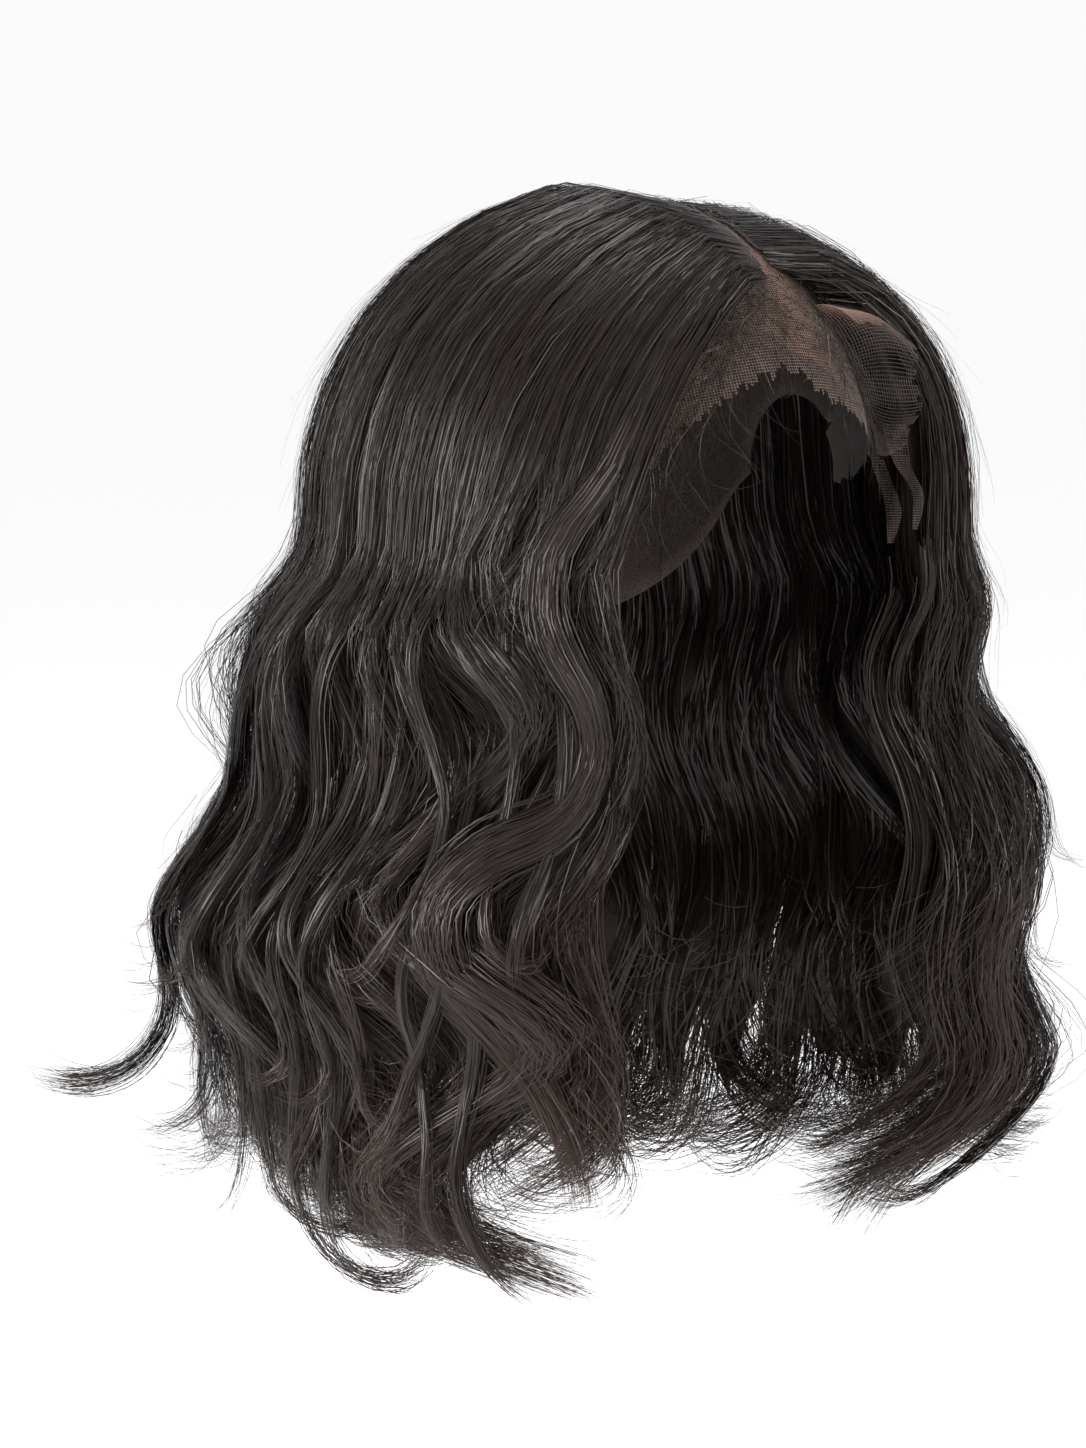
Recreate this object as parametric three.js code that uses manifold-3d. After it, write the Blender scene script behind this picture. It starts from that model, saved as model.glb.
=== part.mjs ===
// Lace front wig with a centre parting and loose waves, in the form that it keeps when it is worn.
// Millimetres, +Z up, the face side toward -Y and the wearer's left toward +X.
// The origin is the inside top of the cap, where it rests on the crown of the head.
import * as THREE from "three";
import { mergeVertices } from "three/addons/utils/BufferGeometryUtils.js";
import Module from "manifold-3d";

// Driving dimensions: the head that fills the cap, as half sizes of an ellipsoid
const headHalfWidth = 77;
const headHalfLength = 97;
const headDomeHeight = 100;

// Driving dimensions: the walls, and the air between one piece and the next
const capWall = 1.2;
const laceWall = 1;
const pieceGap = 0.35;

// Driving dimensions: the outside of the hair
const crestHeight = 10;
const rootHeight = 3;
const partingHalfWidth = 2;
const sideVolume = 43;
const backVolume = 35;
const hairLength = 395;
const hairThickness = 31;
const fallFlare = 46;
const waveDepth = 9;
const waveLength = 101;
const sideWaveLength = 130;
const tipReach = 60;

// Driving dimensions: the lifted corner of the lace
const flapReach = 28;
const stripWidth = 9;

// The cap in degrees round the head, sideways and forward over the top
const earAngle = 77;
const capSideAngle = 74;
const laceBackAtCentre = 8;
const laceBackSweep = 46;
const laceRaggedness = 1.5;

// The parting's two ends, as shares of the head's half width and half length
const partingFront = { x: 0.156, y: -0.732 };
const partingBack = { x: 0.104, y: 0.39 };

// How the hair leaves the parting, a row for each azimuth in degrees from the face round past the wearer's
// right. rim is the depth of the fullest line as a share of the dome's height, roundness the squareness of
// the arc down to it, crest the height over the crown as a share of crestHeight, and clear the air over
// the cap as a share of hairThickness.
const ARC = [
  { azimuth: -38, rim: 1.24, roundness: 1.35, crest: 0.7, clear: 0 },
  { azimuth: -58, rim: 1.18, roundness: 1.7, crest: 0.9, clear: 0 },
  { azimuth: -90, rim: 1.15, roundness: 2, crest: 1, clear: 0 },
  { azimuth: -126, rim: 1.15, roundness: 2, crest: 0.95, clear: 0 },
  { azimuth: -180, rim: 1.15, roundness: 2, crest: 0.6, clear: 0 },
  { azimuth: -234, rim: 1.15, roundness: 2, crest: 0.4, clear: 0 },
  { azimuth: -270, rim: 1.15, roundness: 2, crest: 0.4, clear: 0 },
  { azimuth: -306, rim: 1.15, roundness: 2.1, crest: 0.4, clear: 0.1 },
  { azimuth: -314, rim: 1.15, roundness: 2.2, crest: 0.4, clear: 0.3 },
];

// What the fall adds to the rim's radius, as shares of fallFlare, at the depths of FALL_LEVELS
const FLARE = [
  { azimuth: -38, flare1: 0.07, flare2: 0.15, flare3: 0.3, flare4: 0.3, flare5: 0.18 },
  { azimuth: -58, flare1: 0.15, flare2: 0.35, flare3: 0.55, flare4: 0.55, flare5: 0.3 },
  { azimuth: -90, flare1: 0.26, flare2: 0.53, flare3: 0.78, flare4: 0.75, flare5: 0.32 },
  { azimuth: -126, flare1: 0.36, flare2: 0.65, flare3: 1, flare4: 0.96, flare5: 0.39 },
  { azimuth: -180, flare1: 0.2, flare2: 0.42, flare3: 0.59, flare4: 0.57, flare5: 0.2 },
  { azimuth: -234, flare1: 0.2, flare2: 0.42, flare3: 0.61, flare4: 0.61, flare5: 0.2 },
  { azimuth: -270, flare1: 0.12, flare2: 0.39, flare3: 0.52, flare4: 0.63, flare5: 0.13 },
  { azimuth: -306, flare1: 0.08, flare2: 0.39, flare3: 0.5, flare4: 0.63, flare5: -0.08 },
  { azimuth: -314, flare1: 0.05, flare2: 0.28, flare3: 0.4, flare4: 0.5, flare5: -0.2 },
];

// The waves: their depth as a share of waveDepth, a crest's place as a share of waveLength, and the
// sideways sway in degrees
const WAVES = [
  { azimuth: -38, wave: 0.55, phase: 0.24, side: 3.4 },
  { azimuth: -58, wave: 1, phase: 0.3, side: 6 },
  { azimuth: -90, wave: 1, phase: 0.4, side: 4 },
  { azimuth: -126, wave: 0.9, phase: 0.475, side: 3 },
  { azimuth: -180, wave: 0.9, phase: 0.34, side: 3 },
  { azimuth: -234, wave: 0.9, phase: 0.22, side: 3 },
  { azimuth: -270, wave: 0.9, phase: 0.16, side: 3.5 },
  { azimuth: -306, wave: 0.9, phase: 0.12, side: 3.5 },
  { azimuth: -314, wave: 0.8, phase: 0.12, side: 3 },
];

// The depths of the flare's columns, as shares of the way from the rim to the longest tips
const FALL_LEVELS = [
  { depth: 0.16, flare: "flare1" },
  { depth: 0.34, flare: "flare2" },
  { depth: 0.52, flare: "flare3" },
  { depth: 0.7, flare: "flare4" },
  { depth: 0.91, flare: "flare5" },
];

// The hair's sections, by the azimuths between which each falls. hem is its backing's share of hairLength.
const SECTIONS = [
  { name: "hair_front_right", from: -75, to: -38, hem: 0.84 },
  { name: "hair_side_right", from: -118, to: -75, hem: 0.855 },
  { name: "hair_back_right", from: -160, to: -118, hem: 0.85 },
  { name: "hair_back", from: -200, to: -160, hem: 0.875 },
  { name: "hair_back_left", from: -242, to: -200, hem: 0.865 },
  { name: "hair_side_left", from: -285, to: -242, hem: 0.85 },
  { name: "hair_front_left", from: -314, to: -285, hem: 0.835 },
];

// The locks, by the azimuth that each falls at and its half width in degrees. shift moves its waves, as a
// share of waveLength, and tip is its share of hairLength. out is how far the tip leaves the fall and
// rise the hook of its end, as shares of tipReach, and swing the tip's turn in degrees.
const LOCKS = [
  { azimuth: -43.2, half: 4.6, shift: 0.03, tip: 0.9, out: -0.15, swing: 1, rise: 0 },
  { azimuth: -52, half: 5.2, shift: -0.08, tip: 0.97, out: -0.25, swing: 6, rise: 0 },
  { azimuth: -61, half: 5.6, shift: 0.1, tip: 0.94, out: -0.15, swing: 6, rise: 0 },
  { azimuth: -69.4, half: 5, shift: -0.06, tip: 0.92, out: -0.2, swing: 5, rise: 0 },
  { azimuth: -80.4, half: 4.8, shift: 0.08, tip: 0.94, out: -0.3, swing: 0, rise: 0 },
  { azimuth: -91, half: 6, shift: -0.1, tip: 0.96, out: -0.45, swing: 4, rise: 0 },
  { azimuth: -102, half: 6, shift: 0.05, tip: 0.94, out: 0.1, swing: -3, rise: 0.16 },
  { azimuth: -112.6, half: 4.8, shift: -0.08, tip: 0.95, out: -0.3, swing: 3, rise: 0 },
  { azimuth: -122, half: 3, shift: 0, tip: 0.82, out: 1, swing: 0, rise: 0.35 },
  { azimuth: -127, half: 5.4, shift: 0.07, tip: 0.94, out: -0.25, swing: 2, rise: 0 },
  { azimuth: -137.5, half: 6, shift: -0.1, tip: 0.93, out: 0.15, swing: 3, rise: 0.14 },
  { azimuth: -148, half: 5.6, shift: 0.12, tip: 0.95, out: -0.25, swing: -3, rise: 0 },
  { azimuth: -155, half: 4.2, shift: -0.04, tip: 0.94, out: 0.06, swing: 0.5, rise: 0 },
  { azimuth: -165.4, half: 4.8, shift: 0.06, tip: 0.96, out: -0.2, swing: 0, rise: 0 },
  { azimuth: -174.6, half: 5.4, shift: -0.12, tip: 0.98, out: -0.3, swing: -3, rise: 0 },
  { azimuth: -184.6, half: 5.4, shift: 0.1, tip: 0.97, out: 0.06, swing: 3, rise: 0.1 },
  { azimuth: -194.4, half: 4.8, shift: -0.04, tip: 0.99, out: -0.25, swing: 3, rise: 0 },
  { azimuth: -205.6, half: 5, shift: 0.06, tip: 0.97, out: -0.15, swing: 0, rise: 0 },
  { azimuth: -216, half: 5.8, shift: -0.1, tip: 0.94, out: 0.22, swing: 3, rise: 0.2 },
  { azimuth: -226.6, half: 5.8, shift: 0.08, tip: 0.98, out: -0.3, swing: -3, rise: 0 },
  { azimuth: -236.6, half: 4.8, shift: -0.05, tip: 0.95, out: 0.1, swing: 0, rise: 0 },
  { azimuth: -247.8, half: 5.2, shift: 0.05, tip: 0.97, out: -0.25, swing: 0, rise: 0 },
  { azimuth: -258, half: 5.8, shift: -0.1, tip: 0.92, out: 0.27, swing: 3, rise: 0.22 },
  { azimuth: -268.6, half: 5.8, shift: 0.1, tip: 0.96, out: -0.25, swing: -3, rise: 0 },
  { azimuth: -279.4, half: 5, shift: -0.04, tip: 0.94, out: 0.14, swing: 0, rise: 0.1 },
  { azimuth: -289.8, half: 4.2, shift: 0.05, tip: 0.91, out: 0.2, swing: 0, rise: 0.14 },
  { azimuth: -299, half: 5.2, shift: -0.08, tip: 0.97, out: -0.4, swing: 0, rise: 0 },
  { azimuth: -308.4, half: 5, shift: 0.04, tip: 1, out: -0.55, swing: 0, rise: 0 },
];

// The front edge of the lace, by degrees sideways and degrees forward from the top of the head
const LACE_EDGE = [
  { side: -77, reach: 115 },
  { side: -65, reach: 95 },
  { side: -46, reach: 88 },
  { side: -31, reach: 75 },
  { side: -12, reach: 67 },
  { side: 2, reach: 65 },
  { side: 11, reach: 70 },
  { side: 24, reach: 73 },
  { side: 46, reach: 80 },
  { side: 65, reach: 90 },
  { side: 77, reach: 111 },
];

// The hem of the cap behind, by degrees sideways and degrees back from the top of the head
const CAP_HEM = [
  { side: -74, reach: 97 },
  { side: -60, reach: 121 },
  { side: -40, reach: 129 },
  { side: 0, reach: 127 },
  { side: 40, reach: 129 },
  { side: 60, reach: 121 },
  { side: 74, reach: 97 },
];

// The lifted corner of the lace, a row for each line from the head out to its torn edge. The depths below
// the crown are shares of the dome's height, and reach and bulge shares of flapReach.
const FLAP = [
  { azimuth: 23, depth: 0.36, edgeAzimuth: 25, edgeDepth: 0.43, reach: 0.5, bulge: 0.14 },
  { azimuth: 29, depth: 0.46, edgeAzimuth: 33, edgeDepth: 0.46, reach: 0.98, bulge: 0.25 },
  { azimuth: 31, depth: 0.57, edgeAzimuth: 35, edgeDepth: 0.57, reach: 1, bulge: 0.14 },
  { azimuth: 33, depth: 0.68, edgeAzimuth: 35.5, edgeDepth: 0.71, reach: 0.86, bulge: -0.11 },
  { azimuth: 35, depth: 0.78, edgeAzimuth: 35, edgeDepth: 0.83, reach: 0.62, bulge: -0.18 },
  { azimuth: 37, depth: 0.86, edgeAzimuth: 36, edgeDepth: 0.9, reach: 0.35, bulge: -0.11 },
];

// The two torn strips that hang from it. width is each place's share of stripWidth.
const STRIPS = [
  [
    { azimuth: 35.5, depth: 0.79, reach: 0.36, width: 1 },
    { azimuth: 36, depth: 0.93, reach: 0.41, width: 0.67 },
    { azimuth: 36, depth: 1.04, reach: 0.62, width: 0.5 },
    { azimuth: 35.5, depth: 1.17, reach: 0.63, width: 0.16 },
  ],
  [
    { azimuth: 39, depth: 0.8, reach: 0, width: 0.33 },
    { azimuth: 40, depth: 0.96, reach: 0.12, width: 0.55 },
    { azimuth: 40, depth: 1.1, reach: 0.31, width: 0.67 },
    { azimuth: 40, depth: 1.23, reach: 0.34, width: 0.2 },
  ],
];

// How finely each form is divided
const lockSides = 6;
const crownRings = 5;
const crownSpacing = 1.3;
const fallRings = 11;
const sectionColumns = 3;
const laceColumns = 30;
const laceRows = 4;
const capColumns = 12;
const capRows = 10;
const flapColumns = 5;

// The depth of the fullest line behind, as a share of the dome's height
const fullestDepth = 1.15;

// Where the locks leave the backing, as a stage of the arc, and where the waves begin below the rim
const lockStart = 0.5;
const waveStart = 0.01;
const waveFull = 0.12;

// Half the air between two sections and the phase of the sideways sway, in degrees
const sectionGap = 0.4;
const swayPhase = 116;

const degrees = Math.PI / 180;
const wasm = await Module();
wasm.setup();

function lerp(a, b, k) {
  return a + (b - a) * k;
}

function smoothstep(a, b, x) {
  const k = Math.min(1, Math.max(0, (x - a) / (b - a)));
  return k * k * (3 - 2 * k);
}

// Value of one column of a table at a key, by a cubic that passes through the rows
function column(table, key, at, name) {
  const rising = table[table.length - 1][key] > table[0][key];
  const before = (a, b) => (rising ? a <= b : a >= b);
  let i = 0;
  while (i < table.length - 2 && before(table[i + 1][key], at)) i += 1;
  const [a, b] = [table[i], table[i + 1]];
  const span = b[key] - a[key];
  const k = Math.min(1, Math.max(0, (at - a[key]) / span));
  const slope = (j) => {
    const lower = table[Math.max(0, j - 1)];
    const upper = table[Math.min(table.length - 1, j + 1)];
    return (upper[name] - lower[name]) / (upper[key] - lower[key]);
  };
  const k2 = k * k;
  const k3 = k2 * k;
  return (2 * k3 - 3 * k2 + 1) * a[name] + (k3 - 2 * k2 + k) * span * slope(i)
    + (3 * k2 - 2 * k3) * b[name] + (k3 - k2) * span * slope(i + 1);
}

// Radius of an ellipse with half sizes a along X and b along Y, at an azimuth from the face
function ellipseRadius(a, b, azimuth) {
  return 1 / Math.hypot(Math.sin(azimuth * degrees) / a, Math.cos(azimuth * degrees) / b);
}

function cylindrical(azimuth, radius, z) {
  return new THREE.Vector3(radius * Math.sin(azimuth * degrees), -radius * Math.cos(azimuth * degrees), z);
}

// Radius of the head, grown by an offset, at an azimuth and height
function headRadius(azimuth, z, offset) {
  const height = Math.max(-1, Math.min(1, (z + headDomeHeight) / (headDomeHeight + offset)));
  const level = Math.sqrt(Math.max(0, 1 - height * height));
  return level * ellipseRadius(headHalfWidth + offset, headHalfLength + offset, azimuth);
}

// Point of the head's surface by degrees sideways and degrees forward from the top, moved out by an offset
function headPoint(side, forward, offset) {
  const [u, w] = [side * degrees, forward * degrees];
  const unit = new THREE.Vector3(Math.sin(u), -Math.cos(u) * Math.sin(w), Math.cos(u) * Math.cos(w));
  const half = new THREE.Vector3(headHalfWidth, headHalfLength, headDomeHeight);
  const normal = unit.clone().divide(half).normalize();
  const point = unit.multiply(half).addScaledVector(normal, offset);
  point.z -= headDomeHeight;
  return point;
}

// Closed body from a grid of points on two faces: face 0 outside, face 1 inside, columns and rows from 0 to 1
function sheet(columns, rows, pointAt) {
  const positions = [];
  const index = [];
  const id = (i, j, face) => (face * (rows + 1) + j) * (columns + 1) + i;
  for (const face of [0, 1]) {
    for (let j = 0; j <= rows; j += 1) {
      for (let i = 0; i <= columns; i += 1) {
        positions.push(...pointAt(i / columns, j / rows, face).toArray());
      }
    }
  }
  const quad = (a, b, c, d) => index.push(a, b, c, a, c, d);
  for (let j = 0; j < rows; j += 1) {
    for (let i = 0; i < columns; i += 1) {
      quad(id(i, j, 0), id(i, j + 1, 0), id(i + 1, j + 1, 0), id(i + 1, j, 0));
      quad(id(i, j, 1), id(i + 1, j, 1), id(i + 1, j + 1, 1), id(i, j + 1, 1));
    }
  }
  for (let i = 0; i < columns; i += 1) {
    quad(id(i, 0, 0), id(i + 1, 0, 0), id(i + 1, 0, 1), id(i, 0, 1));
    quad(id(i, rows, 0), id(i, rows, 1), id(i + 1, rows, 1), id(i + 1, rows, 0));
  }
  for (let j = 0; j < rows; j += 1) {
    quad(id(0, j, 0), id(0, j, 1), id(0, j + 1, 1), id(0, j + 1, 0));
    quad(id(columns, j, 0), id(columns, j + 1, 0), id(columns, j + 1, 1), id(columns, j, 1));
  }
  return closedBody(positions, index);
}

// Closed body lofted through rings with the same number of points, with flat ends
function loft(rings) {
  const sides = rings[0].length;
  const positions = rings.flat().flatMap((point) => point.toArray());
  const index = [];
  for (let j = 0; j < rings.length - 1; j += 1) {
    for (let i = 0; i < sides; i += 1) {
      const [a, b] = [j * sides + i, j * sides + (i + 1) % sides];
      index.push(a, a + sides, b + sides, a, b + sides, b);
    }
  }
  const last = (rings.length - 1) * sides;
  for (let i = 1; i < sides - 1; i += 1) {
    index.push(0, i, i + 1);
    index.push(last, last + i + 1, last + i);
  }
  return closedBody(positions, index);
}

// Solid from a closed mesh, turned so that its faces point out
function closedBody(positions, index) {
  const geometry = new THREE.BufferGeometry();
  geometry.setAttribute("position", new THREE.Float32BufferAttribute(positions, 3));
  geometry.setIndex(index);
  const merged = mergeVertices(geometry);
  const triangles = Uint32Array.from(merged.index.array);
  const vertices = Float32Array.from(merged.attributes.position.array);
  if (signedVolume(vertices, triangles) < 0) triangles.reverse();
  return new wasm.Manifold(new wasm.Mesh({ numProp: 3, vertProperties: vertices, triVerts: triangles }));
}

function signedVolume(vertices, triangles) {
  const corner = (k) => new THREE.Vector3().fromArray(vertices, 3 * triangles[k]);
  let volume = 0;
  for (let k = 0; k < triangles.length; k += 3) volume += corner(k).dot(corner(k + 1).cross(corner(k + 2)));
  return volume / 6;
}

function fuse(bodies) {
  return bodies.reduce((joined, body) => joined.add(body));
}

function mesh(name, body, material) {
  const { vertProperties, triVerts } = body.getMesh();
  const geometry = new THREE.BufferGeometry();
  geometry.setAttribute("position", new THREE.Float32BufferAttribute(vertProperties, 3));
  geometry.setIndex(Array.from(triVerts));
  geometry.computeVertexNormals();
  const made = new THREE.Mesh(geometry, material);
  made.name = name;
  return made;
}

// How far a flat facet over the crown can lie inside the round head that it follows
function facetSag(arc) {
  return arc ** 2 / (8 * headDomeHeight);
}

const crownArc = 1.2 * headDomeHeight * Math.PI / 2 / crownRings;
const columnArc = 14 * degrees * (headHalfWidth + sideVolume);
const hairGap = pieceGap + facetSag(Math.hypot(crownArc, columnArc));

function rimHeight(azimuth) {
  return -headDomeHeight * column(ARC, "azimuth", azimuth, "rim");
}

// Where the hair of one azimuth leaves the parting, from the face edge back to the crown
function rootOf(azimuth) {
  const turn = azimuth + 180;
  const share = 1 - Math.min(1, Math.abs(turn) / 142);
  const side = Math.sign(turn) * smoothstep(0, 16, Math.abs(turn));
  const along = share ** 0.85;
  const x = headHalfWidth * lerp(partingFront.x, partingBack.x, along) - side * partingHalfWidth;
  const y = headHalfLength * lerp(partingFront.y, partingBack.y, along);
  const grown = capWall + pieceGap;
  const rest = 1 - (x / (headHalfWidth + grown)) ** 2 - (y / (headHalfLength + grown)) ** 2;
  const z = -headDomeHeight + (headDomeHeight + grown) * Math.sqrt(rest);
  return new THREE.Vector3(x, y, z);
}

// Outside of the hair over the crown, along the arc from parting to rim
function crownPoint(azimuth, stage) {
  const root = rootOf(azimuth);
  const rimRadius = ellipseRadius(headHalfWidth + sideVolume, headHalfLength + backVolume, azimuth);
  const rim = cylindrical(azimuth, rimRadius, rimHeight(azimuth));
  const power = 2 / column(ARC, "azimuth", azimuth, "roundness");
  const out = Math.sin(stage * Math.PI / 2) ** power;
  const up = Math.cos(stage * Math.PI / 2) ** power;
  const reach = Math.hypot(rim.x - root.x, rim.y - root.y) * out;
  const valley = Math.exp(-((reach / crestHeight) ** 2));
  const crest = lerp(crestHeight * column(ARC, "azimuth", azimuth, "crest"), rootHeight, valley);
  const point = root.clone().lerp(rim, out);
  point.z = rim.z + (root.z + crest - rim.z) * up;
  return point;
}

// Outside of the hair below the rim, at a height, with its waves moved along by a shift
function fallPoint(azimuth, z, shift) {
  const rimRadius = ellipseRadius(headHalfWidth + sideVolume, headHalfLength + backVolume, azimuth);
  const top = -headDomeHeight * fullestDepth;
  const down = Math.max(0, (top - z) / (hairLength + top));
  const shareOf = (flare) => column(FLARE, "azimuth", azimuth, flare);
  const levels = FALL_LEVELS.map(({ depth, flare }) => ({ depth, share: shareOf(flare) }));
  const flare = fallFlare * column([{ depth: 0, share: 0 }, ...levels], "depth", down, "share");
  const begun = smoothstep(waveStart, waveFull, down);
  const drop = (z - top) / waveLength;
  const crest = Math.cos(2 * Math.PI * (drop + column(WAVES, "azimuth", azimuth, "phase") + shift));
  const sway = Math.cos(2 * Math.PI * (top - z) / sideWaveLength + swayPhase * degrees);
  const wave = waveDepth * column(WAVES, "azimuth", azimuth, "wave");
  const turned = azimuth + begun * column(WAVES, "azimuth", azimuth, "side") * sway;
  return cylindrical(turned, rimRadius + flare + begun * wave * crest, z);
}

// Inside of the hair under an outer point: it lies over the cap, and below that hangs as a curtain
function innerPoint(azimuth, outer, gap) {
  const lifted = hairThickness * column(ARC, "azimuth", azimuth, "clear");
  const over = capWall + gap + lifted * smoothstep(-0.25, -0.7, outer.z / headDomeHeight);
  const half = new THREE.Vector3(headHalfWidth + over, headHalfLength + over, headDomeHeight + over);
  const centre = new THREE.Vector3(0, 0, Math.min(-headDomeHeight, outer.z));
  const ray = outer.clone().sub(centre);
  const size = ray.clone().divide(half).length();
  const onHead = centre.clone().addScaledVector(ray, 1 / size);
  const below = -headDomeHeight - outer.z;
  if (below <= 0) return onHead;
  const outerRadius = Math.hypot(outer.x, outer.y);
  const capRadius = Math.hypot(onHead.x, onHead.y);
  const thin = smoothstep(0.7, 1, -outer.z / hairLength);
  const hanging = Math.max(capRadius, outerRadius - hairThickness * (1 - 0.5 * thin));
  const kept = lerp(capRadius, hanging, smoothstep(0, 0.7, below / headDomeHeight));
  return new THREE.Vector3(outer.x * kept / outerRadius, outer.y * kept / outerRadius, outer.z);
}

// Point of the hair at an azimuth, a depth from outside 0 to inside 1, and a place down the fall
function hairPoint(azimuth, depth, place, shift, out) {
  const outer = place.stage < 1 ? crownPoint(azimuth, place.stage) : fallPoint(azimuth, place.z, shift);
  const gap = lerp(pieceGap, hairGap, smoothstep(0, 0.12, place.stage));
  const point = outer.clone().lerp(innerPoint(azimuth, outer, gap), depth);
  const radius = Math.hypot(point.x, point.y);
  point.x *= 1 + out / radius;
  point.y *= 1 + out / radius;
  return point;
}

// The places down one fall: stages of the arc, then heights from the rim to an end
function placesTo(azimuth, endZ, rings) {
  const crown = Array.from({ length: crownRings }, (_, i) => {
    return { stage: (i / crownRings) ** crownSpacing, z: 0, along: 0 };
  });
  const fall = Array.from({ length: rings + 1 }, (_, i) => {
    const along = i / rings;
    return { stage: 1, z: lerp(rimHeight(azimuth), endZ, along), along };
  });
  return [...crown, ...fall];
}

// One lock: a ridge that leaves the backing over the side of the head and narrows to a turned tip
function lockBody(lock) {
  const places = placesTo(lock.azimuth, -lock.tip * hairLength, fallRings);
  const rings = places.filter(({ stage }) => stage >= lockStart).map(({ stage, z, along }) => {
    const tip = smoothstep(0.72, 1, along);
    const half = lock.half * lerp(1, 0.22, tip);
    const deep = lerp(lerp(0.32, 0.46, smoothstep(lockStart, 1, stage)), 0.14, tip);
    const bend = Math.max(0, (along - 0.7) / 0.3) ** 2;
    const place = { stage, z: z + lock.rise * tipReach * bend };
    return Array.from({ length: lockSides }, (_, i) => {
      const turn = 2 * Math.PI * i / lockSides;
      const azimuth = lock.azimuth + half * Math.cos(turn) + lock.swing * bend;
      const depth = 0.46 + deep * Math.sin(turn);
      return hairPoint(azimuth, depth, place, lock.shift, lock.out * tipReach * bend);
    });
  });
  return loft(rings);
}

// One section: its backing, with the locks that fall between its two azimuths fused to it
function sectionBody(section) {
  const [from, to] = [section.from + sectionGap, section.to - sectionGap];
  const rings = fallRings - 1;
  const rows = crownRings + rings;
  const backing = sheet(sectionColumns, rows, (across, down, face) => {
    const azimuth = lerp(from, to, across);
    const place = placesTo(azimuth, -section.hem * hairLength, rings)[Math.round(down * rows)];
    const outside = lerp(0.04, 0.22, smoothstep(lockStart, 1, place.stage));
    return hairPoint(azimuth, face === 0 ? outside : 1, place, 0, 0);
  });
  const locks = LOCKS.filter((lock) => lock.azimuth > section.from && lock.azimuth < section.to);
  return fuse([backing, ...locks.map(lockBody)]);
}

// Where the lace ends and the cap begins, in degrees forward from the top
function laceBack(side) {
  return laceBackAtCentre + laceBackSweep * (side / earAngle) ** 2;
}

function laceEdge(side) {
  const ragged = Math.sin(side * 0.9) + 0.7 * Math.sin(side * 2.3 + 1) + 0.5 * Math.sin(side * 4.1);
  return column(LACE_EDGE, "side", side, "reach") + laceRaggedness * ragged / 2;
}

// The lifted corner, from the line where it leaves the head out to its torn edge
function flapBody() {
  const rows = 2 * (FLAP.length - 1);
  const table = FLAP.map((row, i) => ({ ...row, place: i / (FLAP.length - 1) }));
  const onSheet = (across, down) => {
    const value = (name) => column(table, "place", down, name);
    const root = offHead(value("azimuth"), value("depth"), 0);
    const torn = 0.05 * Math.sin(down * 23);
    const edge = offHead(value("edgeAzimuth"), value("edgeDepth"), value("reach") + torn);
    const lift = value("bulge") * flapReach * Math.sin(Math.PI * across);
    return root.lerp(edge, across)
      .add(cylindrical(value("azimuth"), 0.35 * lift, 0.8 * lift))
      .add(cylindrical(value("azimuth") - 90, 0.5 * lift, 0));
  };
  return sheet(flapColumns, rows, (across, down, face) => {
    const step = 0.01;
    const [u, v] = [Math.min(across, 1 - step), Math.min(down, 1 - step)];
    const alongU = onSheet(u + step, v).sub(onSheet(u, v));
    const alongV = onSheet(u, v + step).sub(onSheet(u, v));
    const normal = alongU.cross(alongV).normalize();
    return onSheet(across, down).addScaledVector(normal, (face === 0 ? 0.5 : -0.5) * laceWall);
  });
}

// Point off the head at an azimuth and a depth, moved out from the middle of the lace's wall by a reach
function offHead(azimuth, depth, reach) {
  const z = -depth * headDomeHeight;
  return cylindrical(azimuth, headRadius(azimuth, z, laceWall / 2) + reach * flapReach, z);
}

// A torn strip of the lace, a thin band along its row of places
function stripBody(strip) {
  const rings = strip.map(({ azimuth, depth, reach, width }) => {
    const middle = offHead(azimuth, depth, reach);
    const outward = cylindrical(azimuth, width * stripWidth / 2, 0);
    const across = cylindrical(azimuth - 90, laceWall / 2, 0);
    const corner = (a, b) => middle.clone().addScaledVector(outward, a).addScaledVector(across, b);
    return [corner(-1, -1), corner(1, -1), corner(1, 1), corner(-1, 1)];
  });
  return loft(rings);
}

function laceBody() {
  const wall = sheet(laceColumns, laceRows, (across, down, face) => {
    const side = lerp(-earAngle, earAngle, across);
    return headPoint(side, lerp(laceBack(side), laceEdge(side), down), face === 0 ? laceWall : 0);
  });
  return fuse([wall, flapBody(), ...STRIPS.map(stripBody)]);
}

function capBody() {
  const seamGap = pieceGap + facetSag(headHalfLength * 2 * capSideAngle * degrees / capColumns);
  const seam = seamGap / (headHalfLength * degrees);
  return sheet(capColumns, capRows, (across, down, face) => {
    const side = lerp(-capSideAngle, capSideAngle, across);
    const hem = -column(CAP_HEM, "side", side, "reach");
    return headPoint(side, lerp(laceBack(side) - seam, hem, down), face === 0 ? capWall : 0);
  });
}

const hairFinish = new THREE.MeshStandardMaterial({ color: "#1d1512", roughness: 0.38, metalness: 0 });
const laceFinish = new THREE.MeshStandardMaterial({ color: "#8c6a58", roughness: 0.9, metalness: 0 });
const capFinish = new THREE.MeshStandardMaterial({ color: "#2a211d", roughness: 0.9, metalness: 0 });

const wig = new THREE.Group();
wig.add(mesh("lace_front", laceBody(), laceFinish));
wig.add(mesh("cap_back", capBody(), capFinish));
for (const section of SECTIONS) wig.add(mesh(section.name, sectionBody(section), hairFinish));

export default wig;
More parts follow.
